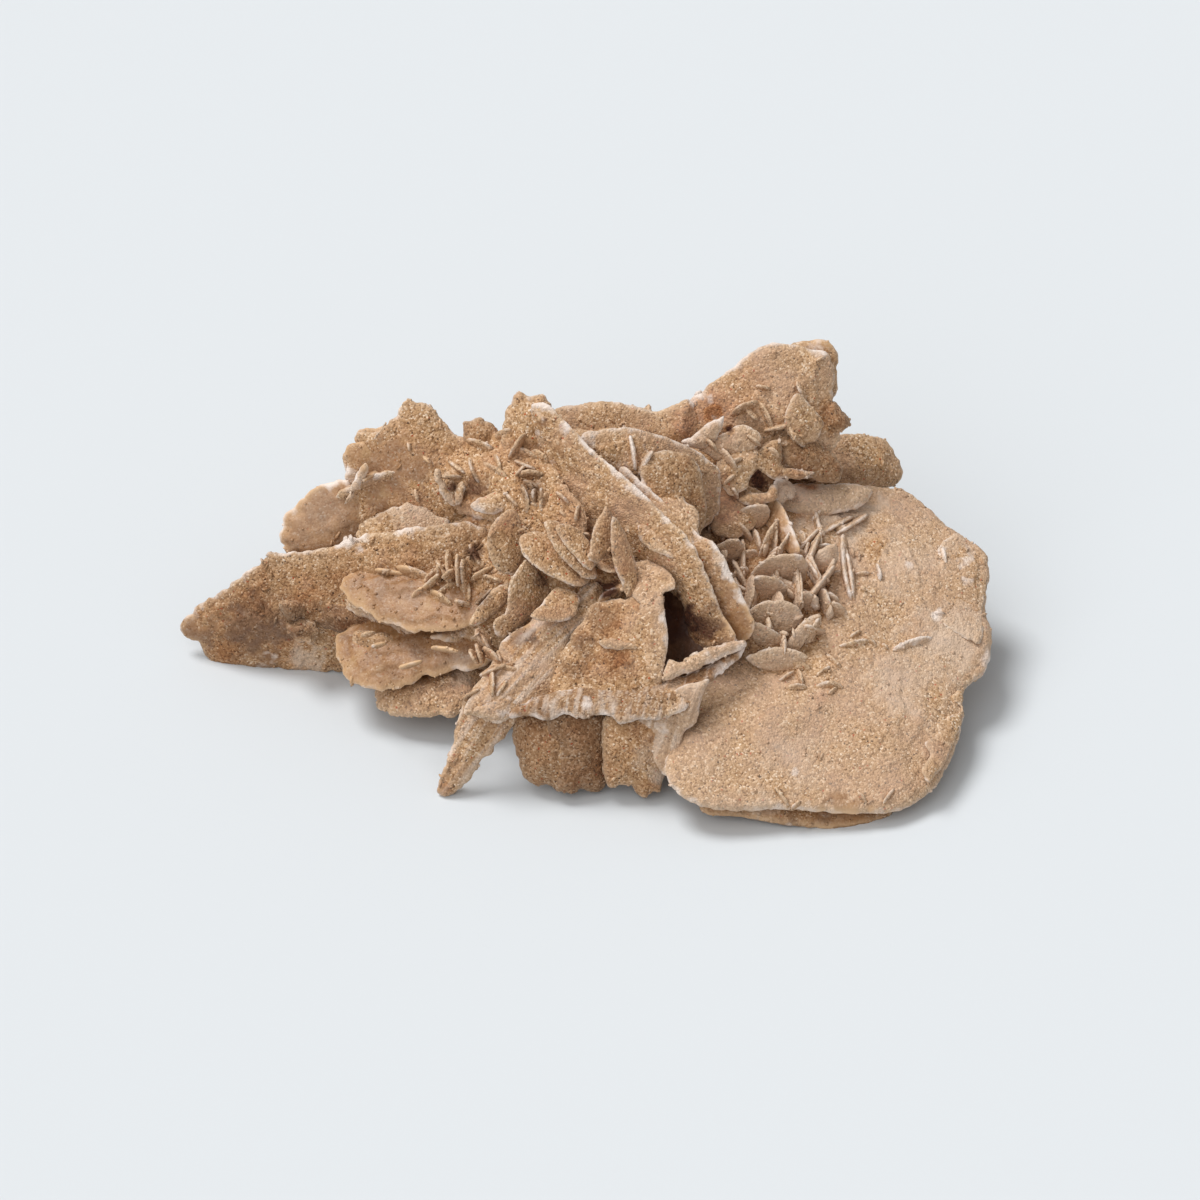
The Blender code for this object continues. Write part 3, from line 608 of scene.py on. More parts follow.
plate_chips = Crowd((34, -8), near=-3.9, right=-0.14, up=-0.64, fins=[
    (35.9, -7.1, 40.6, -6.1, -5, 1.0), (37.4, -5.6, 39.2, -4.6, 0, 0.8), (39.3, -5.3, 41.4, -6.8, 0, 0.9),
    (33.8, -8.2, 36.1, -10.2, 0, 0.9), (32.3, -11.4, 34.4, -10, 0, 0.9), (27.8, -13.2, 31, -13.1, -10, 1.0),
    (29.6, -10.4, 30.5, -12.8, 0, 1.1), (26.8, -12.2, 29.3, -10.7, 10, 1.1),
    (32.2, -12.9, 36.6, -13, -15, 1.1), (34.2, -14.2, 35.6, -13.2, 0, 0.8), (38.2, 3.8, 40.5, 3.9, 0, 0.8),
    (38.9, 2, 40, 1.2, 0, 0.8), (26.2, -28, 28.5, -31, 10, 0.8), (30.2, -30.2, 28.4, -31.4, 0, 0.7),
    (38.5, -28.8, 40.2, -30.7, 0, 0.8), (44.2, -28.2, 42.4, -30.6, 0, 0.8),
    (24, -8.6, 31.6, -10.4, -25, 1.3), (42.2, -6.6, 43.2, -7.4, 0, 0.6)])
white_chips = Crowd((44, -2), near=-9.6, right=-0.14, up=-0.64, fins=[
    (43.8, -7.4, 49.8, -5.6, -15, 1.0), (41.4, 5.4, 42.1, 2.8, 0, 1.3), (51.4, 8, 51.9, 5.4, 0, 0.6)])
plate_blades = [face_blade(name, face, steps=(1.3, 6.5, 9.5), lobes=0.5, swelling=0.4)
                for name, face in plate_faces.items()]
plate_ground = ground_under(plate_blades)
broad_plate = finish_piece(
    "broad_plate",
    fuse("broad_plate", [
        *plate_blades,
        *crowd_blades("plate_chips", plate_chips, plate_ground, tone=0.2),
        *crowd_blades("white_chips", white_chips, plate_ground, frost=0.7, tone=0.6)]),
    honey=[(36.5, -33.4, 5, 0.9)],
    # The broad pale spot at (35, 13.5) and the last three frost spots are painted light on the plate's top,
    # where the tongue casts its shadow, laid over the plate's own whitish-pink.
    tone=[(28, -34.6, 3, -0.6), (25, -31, 3, 0.8), (35, 13.5, 8, 1.2), (42.3, 7.2, 3, -0.9),
          (52, -6, 7, 1.0), (46, -12, 7, 0.8), (46, 6, 7, 0.7), (30, -24, 6, 0.6), (16, -26, 5, 0.5)],
    frost=[(55, 6, 2.2, 1.2), (55, 2.8, 1.5, 1.2), (50.8, -2, 1.8, 1.3), (29.3, -26.3, 2, 1.1),
           (46.5, 5, 1.5, 1.0), (57.5, -9, 1.6, 1.1), (51.5, 7.5, 1.2, 1.2), (38, 16.8, 4, 0.9),
           (31, 15.4, 4, 1.1), (37, 13.6, 4, 0.9)],
    iron=[(36, 13.4, 1.2, 1.0), (33, -14.5, 1.2, 0.4), (30, 12.4, 1.8, 0.5)])


# ---- The left wing and its petals ------------------------------------------------------------------------
# A long blade points left with its sandy face towards the ground in front. Three short petals stand out in
# front of it, with faces that the wind cleaned to honey-coloured gypsum.

wing_faces = {
    "left_wing": Face(
        [(-63, -3.8), (-61.2, -1.4), (-57, 1.6), (-53, 4.6), (-49, 7.4), (-45.3, 7.7), (-41.3, 8.2),
         (-37.2, 9.6), (-32.5, 10.5), (-27.3, 11.2), (-23.8, 11.6), (-19.2, 11.5), (-16.6, 10.2),
         (-13.5, 3), (-15, -6), (-24, -10), (-39, -11), (-48, -11), (-56, -10), (-59, -8.5), (-60, -6.5),
         (-62.5, -5.5)],
        near=-14.8, right=0.22, up=0.5, thick=5, honey=0.15, frost=0.15, tone=-0.3),
    # The small lump is painted paler and the wide lump darker: painted light on the small lump's top, and
    # painted shade between the wide lump and the petals.
    "wing_lump_small": Face(
        [(-48, -0.3), (-46.5, 0.2), (-44.2, -0.4), (-43.8, -2), (-45.5, -2.9), (-47, -3), (-47.8, -1.6)],
        near=-13.8, right=0.1, up=-0.2, thick=4.5, frost=0.1, tone=1.4),
    "wing_lump_low": Face(
        [(-47, -3.3), (-44, -2.6), (-42.3, -4), (-43.2, -6.6), (-45, -6.4), (-46.6, -5.6), (-47.2, -4.5)],
        near=-14.2, right=0.3, up=0.1, thick=4.5, frost=-0.2, tone=-0.1),
    "wing_lump_wide": Face(
        [(-42.9, -2.2), (-41.6, 0), (-38, 0.2), (-35, -1.5), (-33, -4), (-37, -5), (-40.5, -4.9),
         (-42.6, -4)],
        near=-13.4, right=0.3, up=0.1, thick=5, frost=-0.2, tone=-0.9),
    "petal_upper": Face(
        [(-39.5, 2), (-38, 3.5), (-30, 6), (-19.5, 6), (-14, 1.5), (-16, -2.5), (-20, -4.5), (-24, -5),
         (-27.5, -5), (-31, -4), (-34.5, -2.5), (-38, 0)],
        near=-5.8, right=0.24, up=-0.63, thick=3, honey=0.85),
    "petal_between": Face(
        [(-25.5, -5.6), (-22.5, -4.4), (-18, -3), (-17.5, -6), (-22, -6.4)],
        near=-5.6, right=0.1, up=-0.5, thick=2, honey=0.3, frost=0.4, tone=0.6),
    "petal_lower": Face(
        [(-39.7, -7.5), (-39, -5), (-33, -2), (-22.5, -1.5), (-15, -5), (-16, -9.5), (-20, -10.8), (-22, -11),
         (-24.5, -11.9), (-26.5, -11.6), (-29, -13), (-33, -13.9), (-36.5, -13), (-38.8, -11)],
        near=-7.1, right=0.24, up=-0.63, thick=3.5, honey=0.7, frost=0.1, tone=-0.1),
    "petal_lens": Face(
        [(-37.2, -5.2), (-35.5, -4.2), (-33, -4.6), (-30.8, -6), (-32.8, -7.9), (-35.8, -7.5)],
        near=-8.6, right=0.3, up=-0.4, thick=2.2, frost=-0.1, tone=-0.1),
    "petal_bottom": Face(
        [(-34, -15), (-33, -12.5), (-27, -10), (-18, -9), (-16.5, -15), (-20, -17), (-24.5, -17.9),
         (-27, -17.8), (-30.5, -17.5), (-33, -16.8)],
        near=-7.8, right=0.2, up=-0.6, thick=4, frost=-0.4, tone=0.2, crust=1.6),
    "seat_under_petals": Face(
        [(-35, -6), (-30, -1), (-20, 2), (-10, -2), (-8, -10), (-14, -14.5), (-25, -15.5), (-33, -13)],
        near=-12.5, right=0.2, up=-0.3, thick=9, tone=-0.5),
}
petal_fins = Crowd((-21, 3.5), near=-1.6, right=0.1, up=-0.4, fins=[
    (-22.9, 7.6, -22.2, 2.2, 15, 1.6), (-21.2, 6.8, -20.8, 1.8, 10, 1.4), (-26.4, 2.6, -22.6, 5.2, -15, 1.4),
    (-26.8, 1.4, -24, 3.8, 0, 1.1), (-24.8, 0.2, -21.2, 2.6, -20, 1.4), (-19.6, 8.4, -18, 5.2, 15, 1.4),
    (-24.4, 5.4, -24.2, 2.6, 0, 1.0)], spread=(4, 3.5), more=4)
petal_chips = Crowd((-27, -3), near=-1.9, right=0.24, up=-0.63, fins=[
    (-28.4, 0.4, -25.8, 2, 0, 1.0), (-30.6, 5, -25.2, 3.2, -15, 1.2), (-24.6, 6, -22.4, 2, 10, 1.4),
    (-25.6, 1.2, -22.2, -0.8, -15, 1.2), (-30.2, -10.2, -26.6, -9.2, 20, 0.8),
    (-25.4, -7, -21.4, -7.6, 15, 0.7), (-34, 4.4, -29.4, 3.8, 10, 1.0), (-36, -5.4, -33.6, -4.8, 20, 0.8),
    (-34.4, -7, -32, -6.4, 20, 0.7)])
wing_blades = [face_blade(name, face) for name, face in wing_faces.items()]
wing_ground = ground_under(wing_blades)
left_wing = finish_piece(
    "left_wing",
    fuse("left_wing", [
        *wing_blades,
        *crowd_blades("petal_fins", petal_fins, wing_ground),
        *crowd_blades("petal_chips", petal_chips, wing_ground)]),
    honey=[(-60.5, -4.6, 3.4, 0.75), (-55, -3.6, 5, 0.5), (-50, -6.4, 6, 0.5), (-30, 0.5, 6, 0.85),
           (-30, -9, 7, 0.65), (-24, -8, 5, 0.7)],
    frost=[(-61, -1.6, 2.4, 0.9), (-53, 4.4, 2.5, 1.0), (-47, 7.6, 2, 0.9), (-37, 9.2, 3, 1.2),
           (-29, 10.6, 3, 0.8), (-50, -8.6, 2.5, 0.8), (-21, -10.4, 2.4, 0.6)],
    # The spots at (-52, -3.5) and (-46, -3) are painted shade on the wing's face, which turns down from the
    # light. The one at (-21, -10) is painted light on the lower petal's rim, where light shines through.
    tone=[(-21, -10, 3, 0.9), (-52, -3.5, 6, -0.9), (-46, -3, 5, -0.8), (-44, -9, 3.5, 0.9),
          (-45, 4, 4, -0.1), (-33, 6.5, 9, 0.0), (-18.5, 7.4, 1.6, -1.3)])


# ---- The upright blades at the back left -----------------------------------------------------------------
# Flat blades stand side by side along the back, joined by a slope of caked sand. The outermost lobe is nearly
# clear gypsum.

back_left_faces = {
    "back_left_blade": Face(
        [(-38, 18), (-38.5, 22), (-36.5, 23.5), (-36.5, 25.5), (-33, 26), (-30, 29), (-29, 30.5), (-26, 29.5),
         (-23, 27), (-21.5, 25), (-15, 22.5), (-13.5, 13.5), (-22.5, 7.5), (-33, 7.5), (-37.5, 12)],
        near=-10.5, right=0.1, up=0.17, thick=4.5, honey=0.2, frost=0.1),
    "low_lobe_left": Face(
        [(-38.4, 18), (-38.4, 20.5), (-38.3, 22.5), (-37, 23.6), (-35, 23.8), (-33, 21), (-35, 18)],
        near=-10.6, right=0.1, up=0.2, thick=1.8, honey=0.5),
    "high_lobe_left": Face(
        [(-36.6, 23.6), (-36.3, 25.6), (-35, 26.3), (-33, 26.3), (-31.5, 26), (-31, 23), (-34, 21.4)],
        near=-11, right=0.1, up=0.2, thick=1.8, honey=0.5),
    "lobe_chip": Face(
        [(-34.3, 24), (-33.6, 25.6), (-32.2, 26.9), (-31.8, 26.2), (-32.8, 24.8), (-33.8, 23.6)],
        near=-8.8, right=0.1, up=0.2, thick=1.2, tone=0.3),
    "left_lobe": Face(
        [(-48, 10), (-47.5, 12.5), (-45.5, 15), (-42.5, 17), (-38, 18.5), (-33, 16.5), (-31.5, 10.5),
         (-37.5, 5), (-45, 6), (-47.5, 7.5)],
        near=-14, right=0.1, up=0.2, thick=3, honey=0.7, frost=0.3, tone=0.5),
    "standing_chip": Face(
        [(-38.5, 14.2), (-37.9, 16.6), (-36.1, 20.4), (-35, 20.7), (-34.8, 19.2), (-35.5, 17.4),
         (-37.4, 14.9)],
        near=-7.6, right=0.3, up=0.17, thick=1.4, frost=0.2, tone=0.7),
    "horseshoe_left": Face(
        [(-25, 20), (-24.9, 17.6), (-24.2, 15.6), (-22.4, 14), (-21.3, 14.3), (-22.3, 16.4), (-23.2, 18),
         (-24.2, 19.8)],
        near=-5.2, right=-0.3, up=0.1, thick=1.3, tone=0.6),
    "horseshoe_right": Face(
        [(-21.2, 17.2), (-20.5, 18), (-20, 15.8), (-21.4, 13.9), (-22.2, 14.6)],
        near=-5.2, right=0.5, up=0, thick=1.1, tone=0.3),
    "low_dome": Face(
        [(-34.2, 12), (-31.5, 14), (-28, 14.8), (-26, 14.2), (-24, 12.9), (-22.5, 11.9), (-22, 8), (-28, 7),
         (-34, 8)],
        near=-9.9, right=0, up=0.1, thick=2, frost=0.1, tone=0.6),
    "low_dome_front": Face(
        [(-37, 10.4), (-35, 12.2), (-32.4, 13.3), (-30.7, 12.8), (-28.8, 10.9), (-29, 7), (-36, 7)],
        near=-9.3, right=0, up=0.1, thick=1.8, frost=0.1),
    "low_dome_right": Face(
        [(-22.4, 11), (-19.8, 12.8), (-17.2, 13.2), (-15.5, 12.6), (-15.5, 8), (-18, 7), (-22, 8)],
        near=-6.6, right=0.3, up=0.1, thick=2, tone=-0.3),
    "pale_wedge": Face(
        [(-19.6, 13.9), (-17.5, 15.6), (-14.5, 16.8), (-11.5, 15), (-13.5, 13.4), (-17, 12.8)],
        near=-2.6, right=0, up=-0.3, thick=1.8, frost=0.3, tone=0.3),
    "small_back_blade": Face(
        [(-20.5, 26.5), (-19.5, 27), (-18, 27.5), (-16.5, 27), (-15, 25), (-15.5, 20.5), (-20, 22)],
        near=-9, right=0, up=0.1, thick=3, tone=-0.3),
    "peak_blade": Face(
        [(-15, 25.5), (-14.5, 28), (-13, 31), (-12, 31.7), (-10.8, 31), (-9, 31.4), (-8, 30.5), (-7, 28),
         (-8, 22), (-14, 21.5)],
        near=-5, right=0.1, up=0.1, thick=3.5, frost=0.1),
    "sandy_slope": Face(
        [(-24, 22.5), (-20, 24.5), (-15, 25.2), (-11, 26), (-7.5, 21.5), (-4, 16), (-1.5, 12), (-4, 7),
         (-12, 8), (-17, 11.5), (-21, 13), (-25, 17)],
        near=-5, right=0.42, up=-0.3, thick=5, frost=-0.6, crust=2.4),
}
back_left_chips = Crowd((-28, 18), near=-6.8, right=0.1, up=0.17, fins=[
    (-23.8, 18.6, -20.6, 18.4, -20, 1.3), (-22.8, 20.8, -20.2, 19, -10, 1.3),
    (-35.7, 18, -33.3, 19.2, 0, 1.1), (-27.8, 16.6, -27, 14.6, 0, 0.9), (-28.8, 23.8, -28.4, 22.2, 0, 0.8),
    (-26.6, 21.6, -25, 20.4, 0, 1.0)])
slope_fins = Crowd((-13.5, 18), near=-3.4, right=0.1, up=-0.35, fins=[
    (-20.2, 24, -16, 22.6, -10, 1.4), (-15.8, 24.6, -13.2, 25.4, -20, 1.2),
    (-12.4, 18.8, -8.6, 18.8, -15, 1.4), (-9.8, 16.8, -9.8, 14.4, 10, 1.5), (-8.8, 16.8, -8.6, 14, 0, 1.4),
    (-17.6, 20.6, -14, 18.4, -10, 1.1), (-19.8, 21.4, -18.2, 17.4, 15, 1.2),
    (-12.8, 22.6, -9.4, 21.2, -20, 1.2), (-14.4, 16.2, -12.2, 14, 10, 1.1)],
    spread=(8, 5.5), more=8)
back_blades = [face_blade(name, face) for name, face in back_left_faces.items()]
back_ground = ground_under(back_blades)
back_left_blades = finish_piece(
    "back_left_blades",
    fuse("back_left_blades", [
        *back_blades,
        *crowd_blades("back_left_chips", back_left_chips, back_ground, tone=0.2),
        *crowd_blades("slope_fins", slope_fins, back_ground)]),
    honey=[(-32.5, 21.5, 5, 0.9), (-29, 20, 4, 0.7), (-32, 16, 4, 0.7), (-44, 11, 5, 0.9), (-40, 13, 4, 0.8)],
    frost=[(-40, 17.6, 3, 1.0), (-37.6, 19, 2, 1.1), (-47.5, 11, 1.5, 0.7), (-18, 13, 2, 0.8)],
    tone=[(-38, 13, 3, 0.5), (-22.2, 16.8, 1.2, -1.2), (-18.4, 16.8, 2.2, -1.1),
          (-10.5, 16.8, 2.4, -0.7)],
    iron=[(-44, 10, 3, 0.5), (-32, 22, 4, 0.4)])


# ---- The crown -------------------------------------------------------------------------------------------
# Two steep blades, one close behind the other, cross the top of the rose. Their upper rims are bruised white.

crown_faces = {
    "crown_blade": Face(
        [(-10.5, 29), (-8, 29.2), (-5.5, 27), (-1.5, 23), (4, 18.4), (7.5, 14.8), (11, 11.5), (14.2, 8.4),
         (15.6, 5.5), (17, 2), (18.5, -2), (20.5, -6), (17.5, -8.5), (14, -7), (12.8, -3.5), (12.2, 0),
         (11.4, 1.8), (7, 2.5), (0, 2.5), (-6, 7), (-8.5, 13), (-10, 21)],
        near=0, right=0.73, up=0.47, thick=3.6, honey=0.05, frost=0.3, tone=0.15),
    "crown_second": Face(
        [(3, 20), (7, 17), (11, 13.5), (15, 10), (17.8, 8), (20.2, 3.6), (22.4, -1), (23.2, -3.8), (22, -6),
         (18.5, -7), (13.5, -3), (7.5, 6), (3, 13.5)],
        near=1, right=0.73, up=0.47, thick=2.6, honey=0.35, frost=0.2, tone=0.1),
    # The pocket wall is honey gypsum painted dark: painted shade deep in the pocket under the crown.
    "pocket_wall": Face(
        [(8, 3), (14, 3), (18, -1), (17, -9), (11, -10.5), (7, -8)],
        near=-2.5, right=0.5, up=-0.2, thick=2, honey=0.9, tone=-1.2),
    "step_blade": Face(
        [(6, 16), (10.5, 16.2), (12.6, 16), (13.2, 14.6), (14.6, 13.8), (15, 10), (13.5, 6), (6, 9)],
        near=1.5, right=0, up=-0.5, thick=2.5, frost=0.2, tone=0.3),
    "bowl_blade": Face(
        [(6, 18.5), (7.5, 22), (11, 22.6), (14, 21.5), (15.5, 18), (16, 12), (13.5, 8), (7.5, 10.5)],
        near=-1, right=-0.2, up=0.1, thick=3.5, tone=-0.3),
    "crescent": Face(
        [(-3, 24.5), (0, 25.5), (4, 26), (8, 25), (12.5, 23.5), (16, 21.5), (18, 19), (17, 12), (9, 9),
         (0, 16.5)],
        near=-4, right=-0.25, up=0.3, thick=3.5, frost=0.4, tone=0.2),
}
crown_chips = Crowd((5.5, 21), near=1.2, right=0, up=0.2, fins=[
    (4.6, 24.8, 5.4, 19.4, 0, 1.4), (7.8, 22.4, 5.8, 18.6, 0, 1.2)])
crown_parts = [face_blade(name, face, lobes=0.5) for name, face in crown_faces.items()]
crown_blades = finish_piece(
    "crown_blades",
    fuse("crown_blades", [
        *crown_parts,
        *crowd_blades("crown_chips", crown_chips, ground_under(crown_parts), frost=0.8, tone=0.5)]),
    honey=[(21, -3.4, 3.4, 1.0), (18.8, 1, 2, 0.8), (-8.6, 26.5, 1.6, 0.6), (-6, 23, 2, 0.5)],
    # The last frost spot takes the white out of the pocket under the crown. The tone spots at (15.5, -3.4),
    # (12, -3) and (16.6, -1.4) are painted shade in that pocket.
    frost=[(-8.6, 28.6, 2.2, 1.3), (-5.5, 26, 1.6, 1.1), (-10.2, 24.6, 1.8, 1.2), (-7.2, 20.6, 0.9, 0.9),
           (4, 18.8, 1.6, 1.0), (-2, 23.6, 1.6, 1.1), (2, 20.2, 1.6, 0.9), (6, 16.4, 2, 1.2),
           (10, 12.6, 1.4, 0.9), (13.6, 9, 1.4, 0.8), (16.8, 7.2, 1.4, 1.2), (19.2, 4, 2, 1.4),
           (20.6, 1, 1.6, 1.3), (7.5, 2.6, 2.2, 1.0), (14.5, -3.5, 4.4, -1.3)],
    tone=[(15.5, -3.4, 3.6, -1.3), (12, -3, 3.5, -1.6), (5.5, 9, 2.5, -0.5), (-10.4, 24, 2, 0.9),
          (18.4, 6.6, 2.4, 0.8), (16.6, -1.4, 2.4, -0.7)])


# ---- The blades at the back right ------------------------------------------------------------------------
# The highest blade leans back at the right, over knobs and a long tongue stained orange by iron.

back_right_faces = {
    "back_ridge": Face(
        [(-7, 28.5), (-3, 29.5), (1.5, 30), (6, 29), (9, 28.5), (13.5, 30), (15, 24), (6, 19.5), (-6, 22.5)],
        near=-13, right=-0.1, up=0.2, thick=4, tone=0.2),
    "seat_behind_crown": Face(
        [(-8, 24), (2, 26), (12, 24.5), (17, 24.8), (20, 22.5), (20.6, 18), (17.5, 12), (8, 10), (0, 15)],
        near=-13, right=-0.2, up=0, thick=9, crust=2.0),
    "top_right_blade": Face(
        [(11, 27.5), (13.5, 30), (18.5, 34), (21.5, 36.5), (25, 38.5), (29, 38.5), (31.5, 37.8), (34, 37.2),
         (35, 35.5), (35.3, 33.5), (35, 30), (36, 24), (30, 19.5), (18, 19.5), (12, 22.5)],
        near=-14.3, right=0, up=0.15, thick=4.5, frost=0.1, tone=0.3, crust=1.3),
    "top_right_back": Face(
        [(28, 38), (31, 39), (34, 39), (35.6, 37), (35.8, 34), (35.3, 30.5), (33, 27), (28, 28)],
        near=-16.2, right=0, up=0.15, thick=3.5, honey=0.35, frost=0.1),
    "right_tongue": Face(
        [(27.5, 21.5), (32, 24), (37.5, 25), (42, 24.5), (44.5, 22), (45.5, 19), (44, 17), (37.5, 15),
         (28.5, 16.5)],
        near=-28, right=-0.4, up=0.1, thick=5, honey=0.25, frost=-0.2, tone=0.2, crust=1.4),
    "nodule": Face(
        [(33.5, 29), (35, 30), (36.5, 28.5), (37.5, 27.5), (37.5, 26), (36, 25), (33.5, 25.5)],
        near=-15, right=0, up=0, thick=5, frost=-0.3),
    "nodule_disc": Face(
        [(29.5, 31), (32, 29), (33.5, 27), (33.5, 25.5), (32, 23.5), (29, 23.5), (27.5, 27)],
        near=-11.4, right=-0.2, up=0.2, thick=1.8, honey=0.3, frost=0.2, tone=0.3),
    "triangle_blade": Face(
        [(12.1, 23.7), (14.4, 25.1), (17, 26.9), (18.8, 27.7), (18, 25.2), (16.4, 23), (14, 22.6)],
        near=-7.4, right=0, up=0.3, thick=1.5, frost=0.5, tone=0.7),
    "grey_slab": Face(
        [(14.5, 22.5), (17.8, 24.5), (20.5, 26.2), (22, 26.4), (23.4, 25.6), (24.4, 23.8), (22, 21.8),
         (19, 21.4), (17.6, 20.8), (16.2, 21.6)],
        near=-8.6, right=-0.1, up=0.1, thick=1.5, tone=0.5, crust=1.6),
    "ring_left": Face(
        [(17.4, 20), (19.6, 22.1), (21.6, 22.9), (23.6, 22.6), (25, 21.4), (24.2, 20), (23.2, 19.2),
         (22.3, 18), (22.4, 16.9), (19.6, 15.6), (18.2, 17.4)],
        near=-8.8, right=-0.2, up=-0.1, thick=1.7, tone=0.3, crust=2.2),
    "ring_right": Face(
        [(23.2, 20.2), (23.4, 22.2), (24.8, 23.6), (26.8, 24), (27.5, 21.8), (27.4, 20.3), (29.5, 19.9),
         (32.3, 19.1), (30.6, 18.2), (28, 18.2), (26.3, 18), (25.2, 18.5), (24.2, 19.2)],
        near=-9.8, right=-0.3, up=-0.1, thick=1.5, tone=-0.2, crust=1.8),
    "ring_low": Face(
        [(20.6, 15.2), (22, 16.2), (23.6, 16.1), (25, 16.2), (26, 17.5), (26.9, 16.6), (26.4, 15), (24, 14.4),
         (21.6, 14.2)],
        near=-9.6, right=-0.2, up=-0.2, thick=1.5, honey=0.3, crust=1.6),
    # The pale corner and shoulder are painted pale through tone and frost. This is partly the plate's own
    # pale gypsum and partly painted light where the tongue and the ring shade them.
    "pale_corner": Face(
        [(25.4, 16), (26.2, 17.8), (27.2, 18.2), (28.6, 17.6), (29.4, 16.4), (28.6, 15), (26.6, 14.8)],
        near=-12.6, right=-0.5, up=-0.4, thick=2.4, frost=0.5, tone=0.9, crust=1.2),
    "pale_shoulder": Face(
        [(27, 13.6), (26.4, 16.8), (29, 17.6), (34, 17.5), (39, 17.4), (41, 16), (38, 13.4), (32, 12.8)],
        near=-16.6, right=-0.14, up=-0.45, thick=3, frost=0.4, tone=0.7, crust=1.0),
    # The blade behind the ring is painted dark: painted shade, seen through the hole in the ring.
    "behind_the_ring": Face(
        [(17, 19.5), (18, 23.5), (21, 25), (25, 24.5), (27.5, 22), (28, 18), (26, 14), (20.5, 13.5),
         (17.5, 16.5)],
        near=-17, right=-0.2, up=-0.2, thick=5, tone=-0.8, crust=1.4),
    "sandy_corner": Face(
        [(15, 16.4), (16, 12.4), (17.2, 9.6), (19.8, 9), (22.4, 10.4), (24, 12), (25, 14.6), (25, 15.6),
         (22, 17.4), (18, 17.6)],
        near=-11, right=-0.1, up=-0.3, thick=3, tone=0.2, crust=1.6),
    "brown_lens": Face(
        [(26.6, 24.4), (29, 25), (32, 23.8), (35, 22), (36.5, 19.6), (35.6, 17.4), (32.5, 17.8), (30, 18.6),
         (27.6, 20.4), (26.8, 22.4)],
        near=-12.8, right=-0.35, up=-0.1, thick=3, honey=0.3, tone=-0.5, crust=1.2),
}
knob_blades = Crowd((22, 20), near=-7.6, right=-0.3, up=-0.1, fins=[
    (18.2, 22.8, 20.4, 19.4, -10, 1.2), (22, 24.8, 24.2, 23.2, 10, 1.2), (19, 20.4, 21.4, 21.2, -15, 1.2),
    (18.4, 17.2, 20.2, 18.8, -10, 1.2), (19.8, 17, 20.8, 15.2, 10, 1.1), (25.2, 22.8, 26.8, 21.2, -15, 1.2),
    (16, 24.2, 17.6, 22.2, 15, 1.2)])
top_right_chips = Crowd((25, 29), near=-12.2, right=0, up=0.15, fins=[
    (19.6, 27.8, 24, 29.6, -38, 1.8), (28.4, 26, 30.8, 23, 20, 1.4), (24, 29.8, 26, 24.6, -20, 1.8),
    (21.8, 29, 24, 27, 20, 1.2), (24.6, 25.4, 28, 26.2, -10, 1.2), (29.5, 33, 31, 30, 20, 1.2),
    (23.4, 32.2, 25.6, 31.6, -20, 1.1)])
right_blades = [face_blade(name, face, lobes=0.5) for name, face in back_right_faces.items()]
right_ground = ground_under(right_blades)
back_right_blades = finish_piece(
    "back_right_blades",
    fuse("back_right_blades", [
        *right_blades,
        *crowd_blades("knob_blades", knob_blades, right_ground, tone=0.5),
        *crowd_blades("top_right_chips", top_right_chips, right_ground, tone=0.2)]),
    honey=[(33.6, 38.2, 2, 0.6)],
    frost=[(15, 30.5, 2.5, 0.9), (20.5, 35.4, 3, 0.9), (25.5, 38.2, 2, 0.7), (32.6, 37.4, 2, 0.9),
           (18, 27, 1.6, 1.0), (27, 17.4, 1.4, 0.9)],
    # The dark spot at (24, 18) is painted shade in the hole under the ring.
    tone=[(35.5, 27.5, 3, -0.5), (29.4, 22.6, 2.6, -0.6), (31, 17.8, 1.6, -0.8), (24, 18, 1.4, -2.2),
          (19.4, 25.6, 0.9, -1.4), (17, 27.9, 1.5, -0.5)],
    iron=[(17, 28.6, 5, 0.9), (17, 16, 5, 0.7), (22, 33, 4, 0.4), (30, 17.6, 4, 0.6), (12, 25.5, 3, 0.7)])


# ---- The front blades ------------------------------------------------------------------------------------
# Blades fold down to the ground in front: a pale striped one, a spike, a ledge with a chalky fibrous lip, and
# the scalloped foot.

